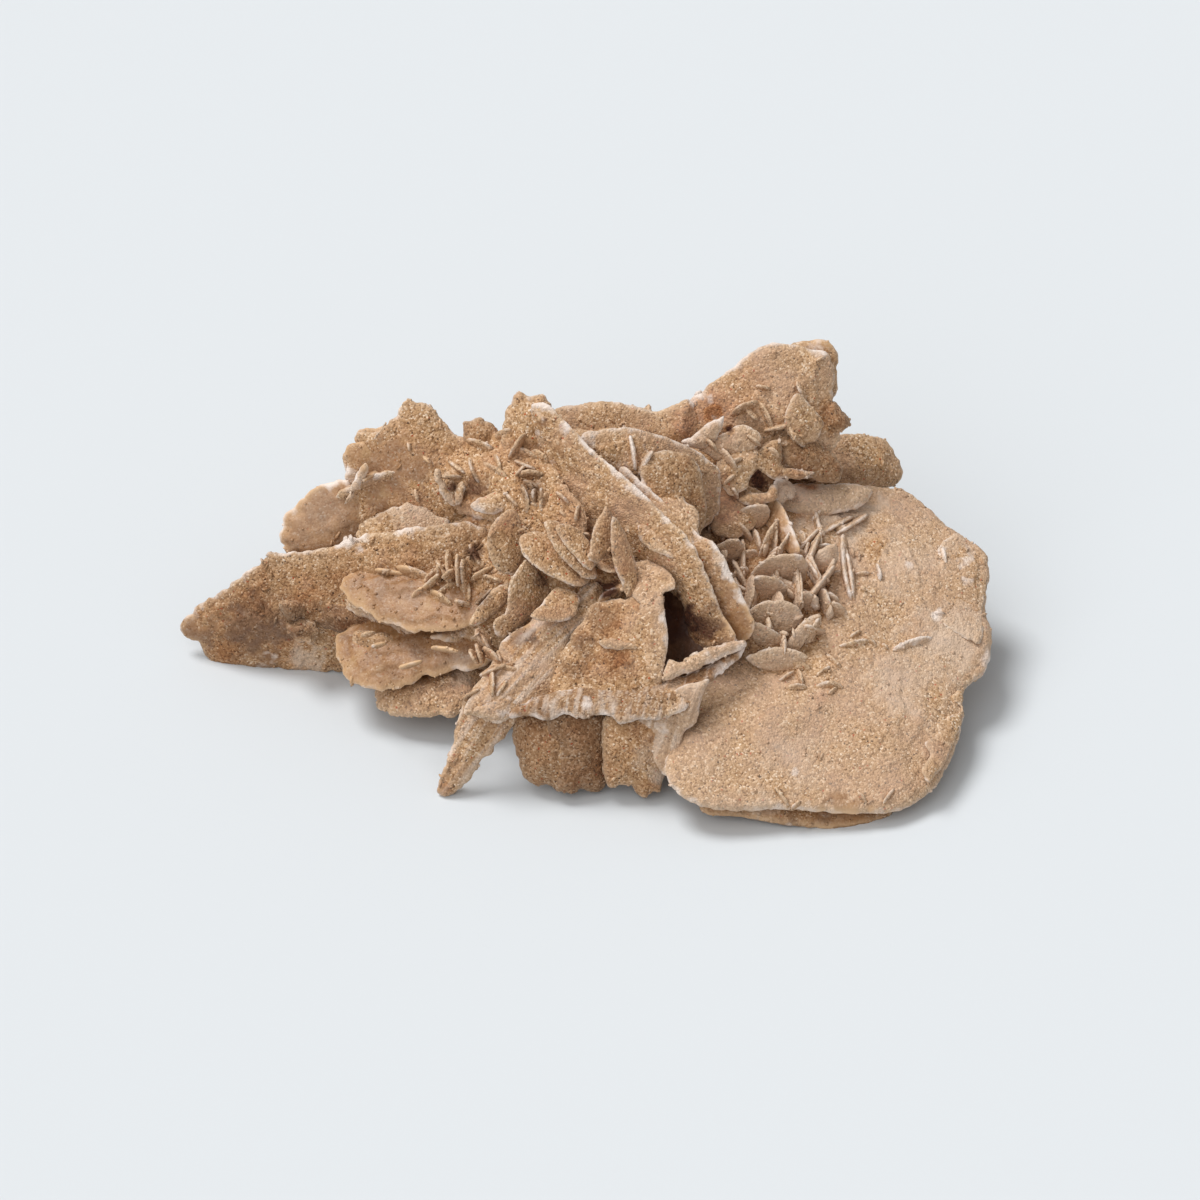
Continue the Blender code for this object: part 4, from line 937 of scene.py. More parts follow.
front_faces = {
    "striped_blade": Face(
        [(-20.5, -17), (-18, -17.7), (-15.5, -18.6), (-13, -17.6), (-9.5, -15.8), (-6.6, -13.6),
         (-5.2, -9.5), (-4, -5.4), (0, -4.8), (1.6, -1), (0.6, 2.2), (-1.5, 3), (-5.5, -1.4), (-8.8, -1.9),
         (-11, -3.6), (-13.5, -5), (-14.8, -6.4), (-17, -10.5), (-19.5, -14)],
        near=3.7, right=-0.15, up=-0.25, thick=3, frost=0.1, tone=0.3, crust=0.7,
        fibres=(0, 0.6, 8, 0.16)),
    "striped_layer": Face(
        [(-19, -16.6), (-16, -18.2), (-13.2, -17.2), (-10.5, -13.4), (-6.5, -8), (-3, -3), (-6, -4.6),
         (-9, -8.8), (-12, -12.2), (-15.4, -13.8)],
        near=5, right=-0.15, up=-0.25, thick=1.4, frost=0.1, tone=0.3, crust=0.7,
        fibres=(0, 0.6, 8, 0.16)),
    "spike": Face(
        [(-24.5, -28.5), (-24, -26.5), (-22.5, -22), (-21.5, -18.5), (-20, -14), (-15, -13.5), (-11.5, -16),
         (-14, -20.3), (-15.2, -21.3), (-16, -22.8), (-17.5, -24), (-18.4, -25.6), (-20, -27.5), (-22, -29),
         (-23.5, -29.5)],
        near=2.6, right=0, up=0.28, thick=3, frost=0.1, tone=0.1, fibres=(0, 0.6, 7, 0.15)),
    "front_face": Face(
        [(-9.8, -16.4), (-9, -13.5), (-7, -10), (-5, -6), (-3, -3.4), (-1.4, -0.6), (1.5, 0.2), (4, 0.5),
         (6.5, 1.4), (9.3, 0.9), (9.8, -2.5), (10.1, -6), (9.7, -10), (9.2, -13), (4, -16.5), (-3, -17.4)],
        near=4.9, right=0.1, up=-0.12, thick=2.8, frost=0.1),
    "front_brow": Face(
        [(3.8, 3), (4.8, 5.2), (7, 6), (9.4, 5), (11.2, 3.2), (11.4, 1.6), (9.6, 0.9), (9.4, -0.8),
         (7.2, -1.2), (4.8, 0.4)],
        near=3.9, right=0.25, up=-0.7, thick=1.5, frost=0.05, tone=0.3, crust=2.4),
    "front_strip": Face(
        [(5.8, -0.6), (8.4, 0.4), (9.5, 0.2), (10, -3), (10.2, -6), (9.9, -10), (9.3, -12.4), (7.6, -12.6),
         (5.6, -11.6), (5.2, -6)],
        near=6.1, right=0.3, up=-0.05, thick=1.8, honey=0.3, frost=0.1, tone=0.4, crust=0.6),
    "front_shelf": Face(
        [(-0.4, -6), (1.5, -5.6), (4.4, -6.2), (5.6, -7.2), (3.4, -7.6), (0.6, -7.2)],
        near=6.2, right=0, up=-0.5, thick=1.2, tone=0.2),
    "ledge": Face(
        [(9.4, -12.2), (13, -11.2), (18, -9), (21.9, -6.9), (21.6, -6), (18, -6.7), (14, -8), (12, -9.3),
         (10.2, -9)],
        near=5.4, right=-0.05, up=-0.6, thick=1.8, frost=0.2, tone=0.5),
    "ledge_lip": Face(
        [(-13.4, -16.2), (-10.6, -14.8), (-8, -14), (-5, -13.4), (-2, -13), (1.5, -13), (5, -12.7),
         (9, -12), (12.5, -11.1), (17, -9), (22, -6.6), (21.4, -8), (18.8, -10.6), (16.4, -12.6),
         (14.8, -15), (12, -17), (9, -18), (5, -18.3), (3.2, -18.8), (1.2, -17.6), (-1, -17.3), (-2.5, -18),
         (-5, -17.4), (-8, -18.2), (-11, -17.5), (-13.6, -17.8)],
        near=6.7, right=0.06, up=-0.6, thick=2.2, frost=0.45, tone=-0.5, crust=1.0,
        fibres=(70, 0.5, 3, 0.15)),
    "front_fold": Face(
        [(2.5, -16), (6, -14.5), (12, -13), (16.4, -11.8), (15.5, -15), (14.8, -18.2), (12.6, -20),
         (11.9, -23.2), (10.4, -26.5), (8.5, -25), (7.4, -21), (4.5, -18.5)],
        near=6.9, right=0, up=0.1, thick=2.2, frost=0.15, tone=0.65, crust=1.2, fibres=(20, 0.6, 5, 0.15)),
    # The feet are painted darker: painted shade on faces that turn towards the eye and away from the light.
    "foot_left": Face(
        [(-13.2, -18), (-13.2, -21), (-12.2, -24.5), (-11.2, -26.6), (-9.5, -28), (-8.2, -27.7), (-7, -28.2),
         (-5, -28.8), (-3, -28.6), (-2, -24), (-2, -17), (-6, -16), (-12.6, -16.2)],
        near=2.5, right=0.12, up=0.25, thick=6, frost=-0.2, tone=-0.5),
    "foot_middle": Face(
        [(-8, -18), (-7.5, -24), (-6.8, -28.3), (-5.4, -28.8), (-4, -29), (-3, -28.4), (-1.5, -29),
         (0, -28.7), (1, -28), (1.6, -24), (1.6, -18), (0, -16), (-6, -16)],
        near=3.2, right=-0.3, up=0.25, thick=5, frost=-0.3, tone=-0.7),
    "foot_right": Face(
        [(0.2, -18), (0.3, -24), (1, -28), (2.3, -28.2), (3, -27.8), (4.4, -28), (5.5, -29.4), (7, -30),
         (8, -29.2), (9.2, -29.1), (9.8, -26.8), (10, -25), (10.8, -18), (8, -16.4), (2, -16.4)],
        near=4.0, right=-0.05, up=0.25, thick=5, frost=-0.2, tone=-0.1),
}
front_chips = Crowd((-17, -10), near=4.6, right=-0.1, up=-0.2, fins=[
    (-18.6, -6.4, -17.6, -9.6, 20, 1.2), (-17.6, -7, -15, -9.4, -10, 1.2),
    (-16.6, -9.8, -12.6, -10.4, -15, 1.0), (-20.6, -14.8, -18, -13.2, 0, 1.0),
    (-14, -12, -15.6, -14.4, 0, 0.7)], spread=(4, 3), more=4)
front_parts = [face_blade(name, face, lobes=0.6, steps=()) for name, face in front_faces.items()]
front_blades = finish_piece(
    "front_blades",
    fuse("front_blades", [
        *front_parts,
        *crowd_blades("front_chips", front_chips, ground_under(front_parts))]),
    frost=[(9.6, -2.5, 1.6, 1.0), (9.9, -6, 1.4, 0.8), (9.3, -19.2, 1.6, 1.4), (-2, -15.6, 1.4, 1.4),
           (-6, -4.6, 1.2, 1.0), (-14, -5.6, 1.2, 1.2), (-15, -16, 3, 0.7), (17, -9.2, 3, 0.9),
           (21, -7, 1.5, 0.9)],
    honey=[(-23.6, -28.6, 1.4, 0.5), (-11.4, -5.6, 3, 0.5)],
    # The spots at (-2.6, -6.6), (-4, -10.6), (0.6, -2.8) and (2, -9) are painted shade on the front face's
    # dark facet, which turns from the light.
    tone=[(-19.5, -15, 2.2, -0.3), (7, -23, 3, 0.5), (6, -4, 3.6, 0.2), (-2.6, -6.6, 2.6, -0.9),
          (-4, -10.6, 3, -0.6), (-12, -6, 3, -0.7), (0.6, -2.8, 3, -0.6), (2, -9, 2.6, -0.4),
          (9, -26.2, 2, 1.0), (-8.4, -16.8, 2.2, -0.8), (12.6, -17.6, 3.4, 0.7), (11, -12, 1.6, 0.6),
          (0.5, 1.2, 1.6, -0.7)],
    iron=[(-23.6, -28.4, 1.6, 0.8), (2.6, -3.6, 1.2, 0.2), (3.2, -9.5, 1.6, 0.2), (-9, -13.4, 2, 0.4)])


# ---- The small rosette -----------------------------------------------------------------------------------
# Thin lens-shaped crystals that grew late stand criss-cross on the plate, white along their rims.

# The rosette's blades and walls are painted paler through their tone: partly pale gypsum, and partly painted
# light where the crown shades them.
rosette_faces = {
    "high_arch": Face(
        [(22.5, 3), (23.3, 4.8), (25.4, 6.2), (28.2, 6.8), (30.6, 6.4), (31.2, 4.2), (29, 1), (25, 1.2)],
        near=-5.4, right=-0.14, up=1.0, thick=1.0, honey=0.25, tone=0.65, crust=1.0),
    "inner_arch": Face(
        [(23.2, 3.3), (24.6, 3.7), (26.4, 3.2), (28.2, 2.2), (29.8, 0.8), (28.8, -1), (24, 0)],
        near=-3.9, right=-0.14, up=1.0, thick=0.9, honey=0.25, tone=0.65, crust=1.0),
    "low_arch": Face(
        [(22, -2.6), (23, -1), (25.2, -0.1), (27.6, -0.1), (29.4, -0.9), (30.4, -2.6), (28, -5.2), (24, -5)],
        near=-1.4, right=-0.14, up=0.5, thick=1.0, honey=0.25, tone=0.65, crust=1.0),
    "steep_diagonal": Face(
        [(22.6, 13.2), (24.4, 14.9), (26.4, 15.2), (27.8, 13.4), (28.9, 11), (29.6, 9), (30, 7.2), (28.4, 7),
         (26.4, 9.6), (24.4, 11.6)],
        near=-10.8, right=0.8, up=-0.2, thick=1.0, honey=0.55, frost=0.2, tone=0.2, crust=0.6),
    "left_arch": Face(
        [(16.8, 6.2), (17.5, 8), (19.2, 9.1), (20.9, 9.1), (21.6, 7.4), (19, 4.8)],
        near=-7.4, right=-0.14, up=1.0, thick=0.9, honey=0.25, tone=0.65, crust=1.0),
    "back_arch": Face(
        [(19.6, 11.4), (20.8, 13.4), (23, 14.3), (25.3, 14), (25, 11.6), (22, 10)],
        near=-10.4, right=-0.14, up=0.9, thick=0.9, honey=0.25, tone=0.65, crust=1.0),
    "front_arch": Face(
        [(22.2, -3.6), (24.4, -3.6), (27.4, -5.4), (27.8, -7.2), (24, -7)],
        near=-0.5, right=-0.14, up=0.9, thick=0.9, honey=0.2, tone=0.65, crust=1.0),
    "front_diagonal": Face(
        [(27.8, -7), (29, -4.8), (31, -2.7), (32.9, -1.9), (33.2, -3.6), (31, -6), (29.4, -7.8)],
        near=-1.5, right=-0.4, up=0.3, thick=0.9, honey=0.2, tone=0.65, crust=1.0),
    "last_arch": Face(
        [(21.8, -8.8), (24, -7.6), (26.6, -7.1), (29.4, -7.5), (31.4, -8.8), (29, -10.6), (25, -10.6)],
        near=0.3, right=-0.14, up=0.4, thick=0.9, honey=0.2, tone=0.65, crust=1.0),
    "right_disc": Face(
        [(31.8, 5.2), (32.5, 7), (33.8, 8.1), (35.3, 8.4), (35.8, 6.6), (34.8, 4.6), (33, 4.2)],
        near=-8.8, right=-0.1, up=0.4, thick=0.9, tone=0.5, crust=0.5),
}
rosette_walls = {
    "left_wall": Face(
        [(23.2, 4), (24, 2), (23.7, 0), (23, -1.8), (22.1, -1.4), (22.2, 1), (22.5, 3)],
        near=-5.6, right=-0.14, up=-0.64, thick=5, honey=0.2, tone=1.1),
    "middle_wall": Face(
        [(28.8, 5.4), (29.7, 5.3), (30.2, 2), (30.5, -1.2), (29.6, -1.6), (29.1, 0.6), (28.8, 3)],
        near=-5.8, right=-0.14, up=-0.64, thick=5, honey=0.2, tone=1.1),
    "slanted_wall": Face(
        [(25.4, 3.4), (27.4, 2.9), (29.6, 1.8), (32.9, -0.2), (32.5, -1.3), (30, 0.3), (27.4, 1.7),
         (25.4, 2.4)],
        near=-5.7, right=-0.14, up=-0.64, thick=4.5, honey=0.2, tone=1.1),
    "right_wall": Face(
        [(30.9, 6.6), (31.8, 6), (32.8, 4.2), (33.6, 2.2), (32.9, 1.5), (31.8, 3), (30.7, 5)],
        near=-7.3, right=-0.14, up=-0.64, thick=4.5, honey=0.2, tone=1.1),
    "cross_wall": Face(
        [(31.1, 0.4), (31.5, 1.4), (33.4, 3.4), (34.7, 5.8), (35.4, 5.2), (34.3, 2.9), (32.4, 0.7)],
        near=-7.5, right=-0.14, up=-0.64, thick=4.5, honey=0.2, tone=1.0),
    "low_wall": Face(
        [(32.9, 2.2), (33.8, 1.6), (34.6, 0), (35, -2.4), (34.1, -2.8), (33.5, -0.6), (32.9, 1)],
        near=-6.6, right=-0.14, up=-0.64, thick=4, honey=0.2, tone=1.1),
    "high_wall": Face(
        [(26.5, 12), (27.2, 11.4), (26, 9.2), (24.9, 6.6), (24, 7), (24.9, 9.4)],
        near=-10.4, right=-0.14, up=-0.64, thick=5, honey=0.3, tone=1.1),
    "short_wall": Face(
        [(28, 9.6), (28.7, 9), (27.6, 7.2), (26.8, 6.2), (26.2, 6.8), (27, 8.2)],
        near=-9.4, right=-0.14, up=-0.64, thick=4, honey=0.2, tone=1.1),
}
rosette = Crowd((27, 2), near=-6.9, right=-0.14, up=-0.64, fins=[
    (29.1, 5, 29.9, -1, -10, 2.6), (29.6, 0.6, 33, -1.4, -10, 2.2), (31.4, 0.2, 35.3, 5.2, 10, 1.8),
    (30.8, 6, 33.4, 2.2, 10, 2.0), (32.9, 1.6, 34.6, -3, -10, 1.9), (33.6, 0.8, 36.2, -1.2, -15, 1.5),
    (22.8, 3.6, 21.9, -2.2, -20, 2.4), (23.2, 3.4, 23.6, 0, 10, 1.9), (26.8, 11.4, 23.8, 6.4, 10, 2.2),
    (27.8, 9, 26.1, 6, 0, 1.8), (21.3, 9, 21.4, 3, 0, 2.0), (20.2, 11.6, 22.8, 8.8, 10, 1.8),
    (30.8, -6.6, 33, -3, -10, 1.6), (17, 11.6, 20.4, 8.6, 15, 1.7), (18.8, 13.2, 18.3, 8.8, -10, 1.7),
    (19.8, 6, 22.2, 1.4, 15, 1.9), (25.6, 6.2, 26.6, 3.4, 10, 1.4), (27.4, -5, 27.6, -8.4, 0, 1.6),
    (19.6, 3, 22.4, 4.4, -20, 1.6), (34.2, -0.6, 37.2, -2, -10, 1.2), (16.2, 9.8, 18.6, 12.6, -20, 1.5),
    (23, 10.6, 24.2, 7.6, 0, 1.6), (18.4, 7.4, 18.9, 4.4, 0, 1.5), (20, 3.4, 21.6, -0.6, 10, 1.6),
    (24.6, -1.6, 25.6, -4.4, 0, 1.1)], spread=(9.5, 8), more=18)
bright_rosette = Crowd((34, 8), near=-10.6, right=-0.14, up=-0.64, fins=[
    (36, 9.8, 37.6, 0, 18, 2.2), (36.6, 8.4, 38.1, 0, 10, 1.8), (35.4, 9.8, 40.2, 12.8, 28, 1.6),
    (33, 10.2, 38, 12.6, 28, 1.6), (32.2, 13.4, 33.3, 7.2, 0, 1.9), (33.7, 13.6, 31.9, 11.8, 0, 1.3),
    (32, 7.6, 35.4, 7.8, 10, 1.6), (29.9, 7.6, 32.9, 10.6, 10, 2.0),
    (34.6, 3.9, 37.4, 3.9, 0, 1.1), (31.2, 9.4, 30.6, 6.4, 0, 1.5)])
rosette_blades = [face_blade(name, face, lobes=0.3, steps=(), spacing=0.35)
                  for name, face in [*rosette_faces.items(), *rosette_walls.items()]]
rosette_ground = ground_under([broad_plate, *rosette_blades])
small_rosette = finish_piece(
    "small_rosette",
    fuse("small_rosette", [
        *rosette_blades,
        *crowd_blades("rosette", rosette, rosette_ground, honey=0.2, frost=0.1, tone=0.65),
        *crowd_blades("bright_rosette", bright_rosette, plate_ground, frost=0.45, tone=0.4)]),
    frost=[(28.8, 10.6, 1.8, 0.9), (29.6, 8.6, 1.2, 0.9), (29.8, 6.2, 1.4, 0.7)],
    tone=[(33.6, 6.6, 2, 1.0), (26.4, 9.8, 2, 0.4)],
    iron=[(36, 2.4, 1.6, 0.7), (20, 9, 3, 0.4)])


# ---- The crown cluster -----------------------------------------------------------------------------------
# More of the same crystals, in V-shaped pairs, fill the hollow at the foot of the crown.

cluster_faces = {
    "cluster_seat": Face(
        [(-21, 4), (-19, 8), (-15.5, 13), (-6, 14), (1.5, 10.5), (7, 3), (3, -3), (-6, -4.5),
         (-12, -7.5), (-19.5, -6), (-22, -1.5)],
        near=-4.8, right=0.15, up=-0.1, thick=10, frost=-0.6, crust=1.8),
    "oval_blade": Face(
        [(-13.2, 13.8), (-15, 12.8), (-16.4, 11), (-17, 8.6), (-16.8, 7), (-16, 5.3), (-15, 4.2), (-13, 3.6),
         (-11.5, 6), (-11.4, 9), (-11.8, 12)],
        near=1.8, right=-0.3, up=0.1, thick=1.6, tone=-0.1, crust=0.5),
    "curved_left": Face(
        [(-11.2, 6.3), (-12.4, 4.6), (-13.4, 2.8), (-13.8, 0), (-14.1, -1.8), (-15.6, -2.9), (-15.9, -4.3),
         (-14.8, -5.8), (-12.6, -4.4), (-10, -2.6), (-8, -0.4), (-7.4, 1.2), (-9, 4)],
        near=2.6, right=-0.7, up=0.2, thick=1.2, crust=0.6),
    "finger": Face(
        [(-13.4, 2.6), (-15.5, 2), (-17, 0.6), (-19.1, -2.2), (-19.6, -3.8), (-18, -3.6), (-15.6, -1.8),
         (-13.6, 0)],
        near=2.4, right=-0.5, up=-0.2, thick=1.1, crust=0.6),
    "broad_slanted": Face(
        [(-12.1, 9.4), (-11.8, 7.2), (-10.8, 5.9), (-8.4, 4), (-5.8, 2.6), (-3, 1.9), (-1.4, 3.4), (-4, 6.4),
         (-7.2, 9.6), (-9.8, 10.4)],
        near=3.2, right=-0.4, up=-0.5, thick=1.2, crust=0.6),
    "narrow_slanted": Face(
        [(-8.4, 11.6), (-7.8, 9), (-6, 6.3), (-4, 4.4), (-1.8, 3), (-0.4, 3.6), (-2.2, 7), (-4.6, 10),
         (-6.8, 11.8)],
        near=4, right=-0.6, up=-0.4, thick=1.0, crust=0.6),
    "last_slanted": Face(
        [(-6.6, 11), (-5.8, 9), (-4.4, 7.2), (-2.6, 5.2), (-1.2, 4.4), (-0.6, 6.4), (-2.2, 9.6),
         (-4.8, 11.4)],
        near=4.4, right=-0.6, up=-0.4, thick=1.0, crust=0.6),
    "upright_fin": Face(
        [(0.9, 14.2), (0, 12.9), (-1, 10.8), (-1.5, 8.4), (-1.6, 6.2), (-0.3, 5.6), (1.4, 7.4), (2.2, 11)],
        near=4.4, right=-0.6, up=0, thick=1.0, crust=0.6),
    "long_fin": Face(
        [(1.9, 12.6), (1.7, 9), (1.9, 6.4), (2.8, 3.4), (4.1, 0.6), (5.4, 1), (5.6, 4), (4.6, 8), (3, 11.6)],
        near=5.4, right=-0.5, up=0.1, thick=1.2, honey=0.25, crust=0.6),
    "low_slanted": Face(
        [(-10.4, -2.4), (-9, -0.7), (-7.7, 0.9), (-6.6, 2), (-4.6, 1.6), (-3, 0.2), (-4, -2.6), (-7.4, -3.4)],
        near=4.2, right=-0.3, up=-0.4, thick=1.0, crust=0.5),
}
crown_cluster = Crowd((-7, 4), near=1.4, right=0.2, up=-0.1, fins=[
    (-20.3, 6.2, -20, 0, 10, 1.8), (-21.4, 7, -21.2, 2, 0, 1.6), (-19.6, 2.4, -16, 4.8, -15, 1.7),
    (-22, 0, -18.5, -1.2, -15, 1.4), (-17.8, 3.8, -14.4, 2.6, -10, 1.4), (-19.2, -1, -16.2, 1.6, 15, 1.6),
    (-9.6, 12.6, -7.4, 11.4, -15, 1.6), (-8, 16.2, -8.3, 12.6, 20, 1.8), (-5.4, 10, -1.4, 9.6, -10, 1.8),
    (-3, 14.4, -3.5, 11, 0, 1.8), (-6.6, 16.2, -4.4, 14.2, -10, 1.6), (0.2, 8.6, 1.4, 9.8, -20, 1.6),
    (-18.6, -4.2, -16.6, -7, 20, 1.4), (-17.8, -5, -15.6, -8.6, 0, 1.4), (-12.2, 11.4, -9.8, 9.6, -15, 1.6),
    (-10.6, 14.4, -8.8, 13.6, -15, 1.4), (-6.2, 13.6, -4.6, 12, 0, 1.4), (-23.6, 3.2, -21.6, 4.6, -10, 1.4)],
    spread=(13, 8), more=16)
cluster_blades = [face_blade(name, face, lobes=0.3, steps=()) for name, face in cluster_faces.items()]
cluster = finish_piece(
    "crown_cluster",
    fuse("crown_cluster", [
        *cluster_blades,
        *crowd_blades("crown_cluster", crown_cluster, ground_under(cluster_blades[:1]),
                      honey=0.25, tone=0.1)]),
    frost=[(-3, 0.8, 1.2, 0.7), (-16, -5.6, 2, 0.4)],
    # These darker spots are painted shade in the gaps between the V-shaped blades.
    tone=[(1, 6.4, 1.4, -1.0), (-8.8, 3, 2, -1.0), (1, 1.6, 2.2, -2.0), (-17.7, 0, 1.8, -0.8),
          (-15, 3.8, 1, -0.8), (-18.4, 7.6, 1.2, -1.0)],
    iron=[(-3.4, 0.4, 0.5, 1.0), (2.6, 4.6, 1.4, 0.7), (0, 4.2, 1.4, 0.6)])


# ---- The far side ----------------------------------------------------------------------------------------
# The thick lenses in the middle that the other blades grew out of, and a fan of upright blades behind them.

far_blades = {
    "middle_lens": Hidden((-4, 16.5, 14), (0, -0.1, 1), (1, 0, 0), 38, 19, 17),
    "lens_under_plate": Hidden((22, 10.5, 9), (0.12, -0.3, 0.95), (1, 0, 0.1), 25, 22, 10),
    "back_foot_left": Hidden((-16, 32.5, 11), (0.25, 1, 0.15), (1, -0.2, 0), 21, 14, 6),
    "back_foot_right": Hidden((14, 34.5, 11), (-0.35, 1, 0.2), (1, 0.3, 0), 18, 13, 6),
    "back_shelf": Hidden((2, 33.5, 19), (0, 0.55, 0.85), (1, 0, 0), 28, 12, 7),
    "back_lean_left": Hidden((-28, 26.5, 21), (-0.3, 0.85, 0.5), (1, 0.3, 0.1), 17, 13, 5),
    "back_lean_right": Hidden((22, 36, 23), (0.2, 0.8, 0.6), (1, -0.2, 0), 15, 11, 5),
}
FAN_BLADES = 11


def hidden_blade(name, blade, seed):
    """A plain lens on the far side. Its seed also picks how bare, milky and pale it is."""
    normal = Vector(blade.facing).normalized()
    across = normal.cross(Vector(blade.along)).normalized()
    along = across.cross(normal) * blade.half_length
    rim = ellipse(Vector(blade.middle) + SHOW_FOOT, along, across * blade.half_width)
    return grow_blade(name, rim, blade.thick, seed, honey=(0.1, 0.5, 0.2)[seed % 3],
                      frost=(0.1, 0.4)[seed % 2], tone=(0.3, -0.2, 0.1)[seed % 3], lobes=1.8, spacing=0.6)


def fan_blades():
    """Upright blades in a fan, which lean by turns to the left and the right."""
    for number in range(FAN_BLADES):
        turn = math.radians(-75 + 150 * number / (FAN_BLADES - 1))
        lean = math.radians(24 if number % 2 else -20)
        middle = (30 * math.sin(turn) - 2, 23 + 15 * math.cos(turn), 11 + 3 * math.cos(2.1 * number))
        facing = (math.cos(turn + lean), -math.sin(turn + lean), 0.25 * math.sin(1.7 * number))
        upright = (0.5 * math.sin(turn), 0.5 * math.cos(turn), 1)
        half_length = 11 + 2 * math.sin(1.3 * number)
        blade = Hidden(middle, facing, upright, half_length, 8, 2.8)
        yield hidden_blade(f"fan_blade_{number + 1:02d}", blade, number)


far_side = finish_piece("far_side_blades", fuse("far_side_blades", [
    *[hidden_blade(name, blade, number) for number, (name, blade) in enumerate(far_blades.items())],
    *fan_blades()]))


# ---- Loose sand ------------------------------------------------------------------------------------------
# Crumbs of caked sand cling to every face, and tiny late crystals, shaped like grains of rice, stand on the
# sandy parts in patches.


def strewing_tree():
    """Geometry Nodes that strew small lumps over a surface, more of them where its crust is thick."""
    tree = bpy.data.node_groups.new("strewn_lumps", "GeometryNodeTree")
    face = tree.interface
    face.new_socket("Geometry", in_out="INPUT", socket_type="NodeSocketGeometry")
    for name in ("Per square metre", "Patch size", "Bare share", "Smallest", "Largest"):
        face.new_socket(name, in_out="INPUT", socket_type="NodeSocketFloat")
    face.new_socket("Lump shape", in_out="INPUT", socket_type="NodeSocketVector")
    face.new_socket("Seed", in_out="INPUT", socket_type="NodeSocketInt")
    face.new_socket("Material", in_out="INPUT", socket_type="NodeSocketMaterial")
    face.new_socket("Geometry", in_out="OUTPUT", socket_type="NodeSocketGeometry")
    node = partial(add, tree)
    math_kind, random_kind = "ShaderNodeMath", "FunctionNodeRandomValue"
    turn_kind, stance_kind = "FunctionNodeAxisAngleToRotation", "FunctionNodeRotateRotation"
    given = node("NodeGroupInput").outputs
    scale = node(math_kind, {0: 1.0, 1: given["Patch size"]}, operation="DIVIDE")
    patches = node("ShaderNodeTexNoise", {"Scale": scale, "Detail": 2.0})
    patches = node(math_kind, {0: patches, 1: given["Bare share"]}, operation="SUBTRACT")
    patches = node(math_kind, {0: patches, 1: 6.0}, operation="MULTIPLY", use_clamp=True)
    crust = node("GeometryNodeInputNamedAttribute", {"Name": "crust"}, data_type="FLOAT")
    density = node(math_kind, {0: patches, 1: given["Per square metre"]}, operation="MULTIPLY")
    density = node(math_kind, {0: density, 1: crust}, operation="MULTIPLY")
    spots = node("GeometryNodeDistributePointsOnFaces", {
        "Mesh": given["Geometry"], "Density": density, "Seed": given["Seed"]}, distribute_method="RANDOM")
    turn = node(random_kind, {"Max": math.tau, "Seed": 3}, data_type="FLOAT")
    spin = node(turn_kind, {"Axis": (0, 0, 1), "Angle": turn})
    tip = node(random_kind, {"Min": -0.6, "Max": 0.6, "Seed": 4}, data_type="FLOAT")
    nod = node(turn_kind, {"Axis": (1, 0, 0), "Angle": tip})
    stance = node(stance_kind, {
        "Rotation": spots.outputs["Rotation"], "Rotate By": spin}, rotation_space="LOCAL")
    stance = node(stance_kind, {"Rotation": stance, "Rotate By": nod}, rotation_space="LOCAL")
    size = node(random_kind, {
        "Min": given["Smallest"], "Max": given["Largest"], "Seed": 5}, data_type="FLOAT")
    shape = node("ShaderNodeVectorMath", {0: given["Lump shape"], "Scale": size}, operation="SCALE")
    lump = node("GeometryNodeMeshIcoSphere", {"Radius": 0.5, "Subdivisions": 1})
    strewn = node("GeometryNodeInstanceOnPoints", {
        "Points": spots, "Instance": lump, "Rotation": stance, "Scale": shape})
    whole = node("GeometryNodeRealizeInstances", {"Geometry": strewn})
    dressed = node("GeometryNodeSetMaterial", {"Geometry": whole, "Material": given["Material"]})
    node("NodeGroupOutput", {"Geometry": dressed})
    return tree


STREWING = strewing_tree()


def strew(name, pieces, **values):
    """One piece made of the lumps strewn over several pieces."""
    joined = bmesh.new()
    for number, piece in enumerate(pieces):
        seat = bpy.data.objects.new(name, piece.data)
        bpy.context.scene.collection.objects.link(seat)
        modifier = seat.modifiers.new("strewing", "NODES")
        modifier.node_group = STREWING
        set_inputs(modifier, seed=number, material=GYPSUM, **values)
        joined.from_mesh(evaluated_mesh(seat))
        bpy.data.objects.remove(seat)
    for vert in joined.verts:
        vert.co.z = max(vert.co.z, 0)
    mesh = bpy.data.meshes.new(name)
    joined.to_mesh(mesh)
    joined.free()
    mesh.materials.clear()
    mesh.materials.append(GYPSUM)
    mesh.shade_smooth()
    strewn = bpy.data.objects.new(name, mesh)
    bpy.context.scene.collection.objects.link(strewn)
    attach(strewn, "root")
    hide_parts("sand_rose")
    return strewn


all_blades = [broad_plate, left_wing, back_left_blades, crown_blades, back_right_blades, front_blades,
              small_rosette, cluster, far_side]
strew("sand_crumbs", all_blades, per_square_metre=5.5e5, patch_size=5 * MM, bare_share=0.47,
      smallest=0.3 * MM, largest=0.7 * MM, lump_shape=(1.0, 0.85, 0.8))
strew("rice_crystals", all_blades, per_square_metre=2.2e5, patch_size=9 * MM, bare_share=0.55,
      smallest=0.8 * MM, largest=2.2 * MM, lump_shape=(1.0, 0.28, 0.5))


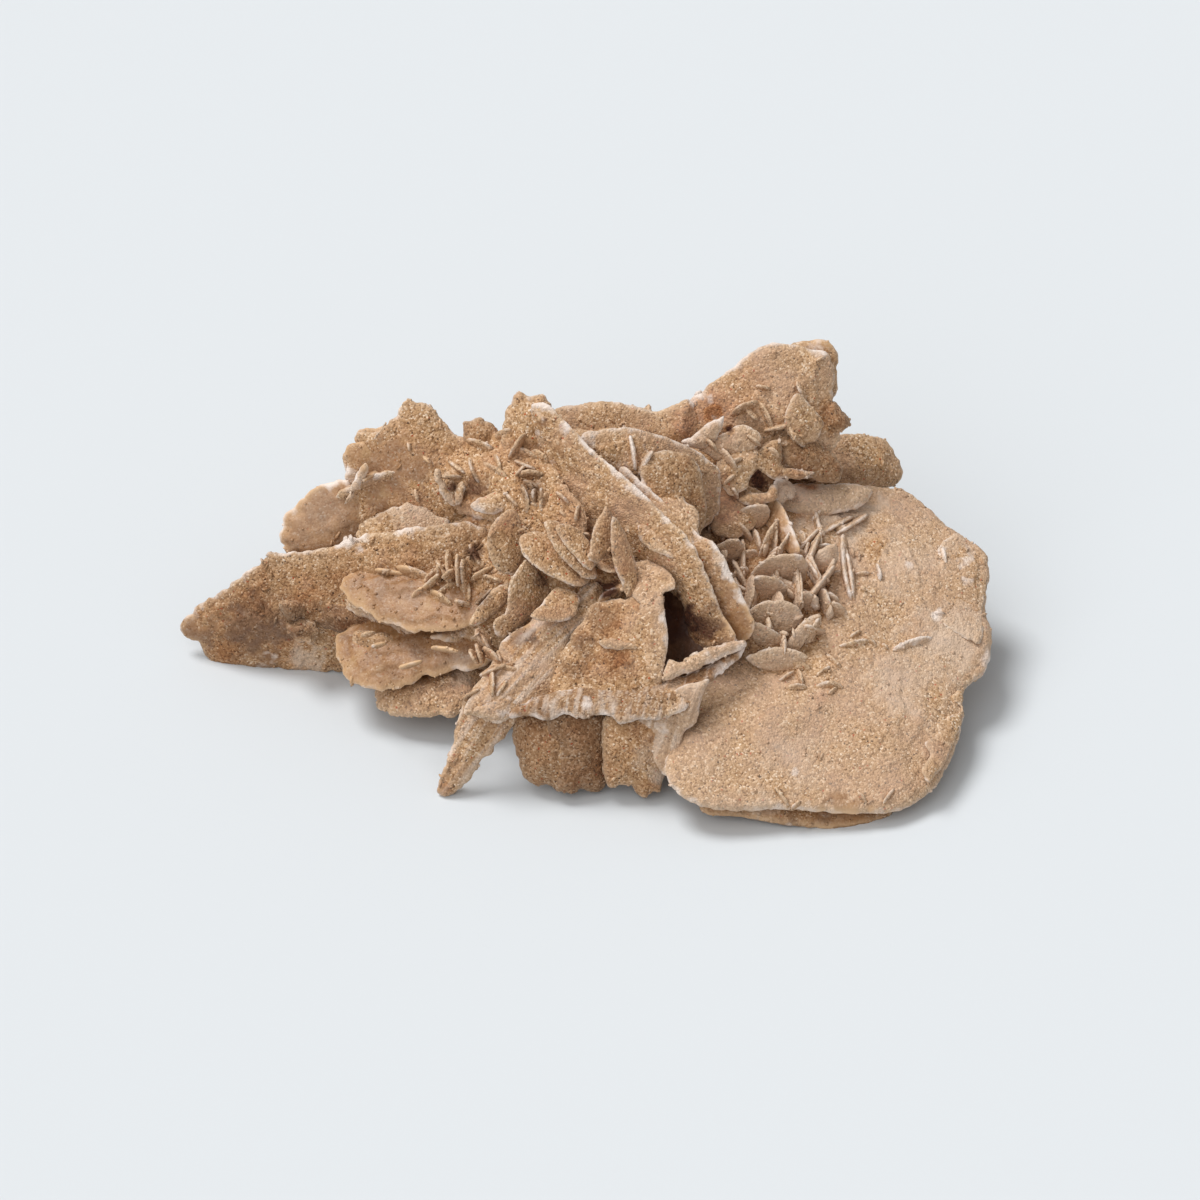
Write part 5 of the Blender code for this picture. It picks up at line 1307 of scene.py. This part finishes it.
# ---- The studio ------------------------------------------------------------------------------------------
# A seamless pale floor under soft light from above, and the eye on the show face's sight line.

floor_mesh = bpy.data.meshes.new("studio_floor")
shape = bmesh.new()
bmesh.ops.create_grid(shape, x_segments=1, y_segments=1, size=3.0)
shape.to_mesh(floor_mesh)
shape.free()
floor = bpy.data.objects.new("studio_floor", floor_mesh)
bpy.context.scene.collection.objects.link(floor)
paper = bpy.data.materials.new("matt_paper")
paper.use_nodes = True
paper.node_tree.nodes["Principled BSDF"].inputs["Base Color"].default_value = linear("#CFD3D6")
paper.node_tree.nodes["Principled BSDF"].inputs["Roughness"].default_value = 0.95
floor_mesh.materials.append(paper)
floor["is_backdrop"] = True

world = bpy.data.worlds.new("soft_room")
world.use_nodes = True
world.node_tree.nodes["Background"].inputs["Color"].default_value = (1.0, 1.0, 1.0, 1.0)
world.node_tree.nodes["Background"].inputs["Strength"].default_value = 0.385
bpy.context.scene.world = world
bpy.context.scene.view_settings.view_transform = "Standard"


def sun(name, come_from, strength, soft):
    """Far soft light that comes from a direction (right, away, up)."""
    light = bpy.data.lights.new(name, "SUN")
    light.energy = strength
    light.angle = math.radians(soft)
    item = bpy.data.objects.new(name, light)
    item.rotation_euler = Vector(come_from).to_track_quat("Z", "Y").to_euler()
    bpy.context.scene.collection.objects.link(item)


sun("key", (-0.38, 0.24, 0.89), 2.3, 26)
sun("fill", (-0.4, -0.55, 0.68), 1.1, 60)

SEEN_ACROSS = 180.0  # how much of the show face's plane the picture takes in
camera = bpy.data.cameras.new("eye")
camera.sensor_width = 36
camera.lens = camera.sensor_width * SHOW_DISTANCE / SEEN_ACROSS
camera.clip_start, camera.clip_end = 0.05, 10
eye = bpy.data.objects.new("eye", camera)
eye.location = to_object(0, 0, SHOW_DISTANCE) * MM
eye.rotation_euler = (math.pi / 2 - SHOW_TILT, 0, 0)
bpy.context.scene.collection.objects.link(eye)
bpy.context.scene.camera = eye

[[list(corner) for corner in box] for box in (cad_box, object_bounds())]
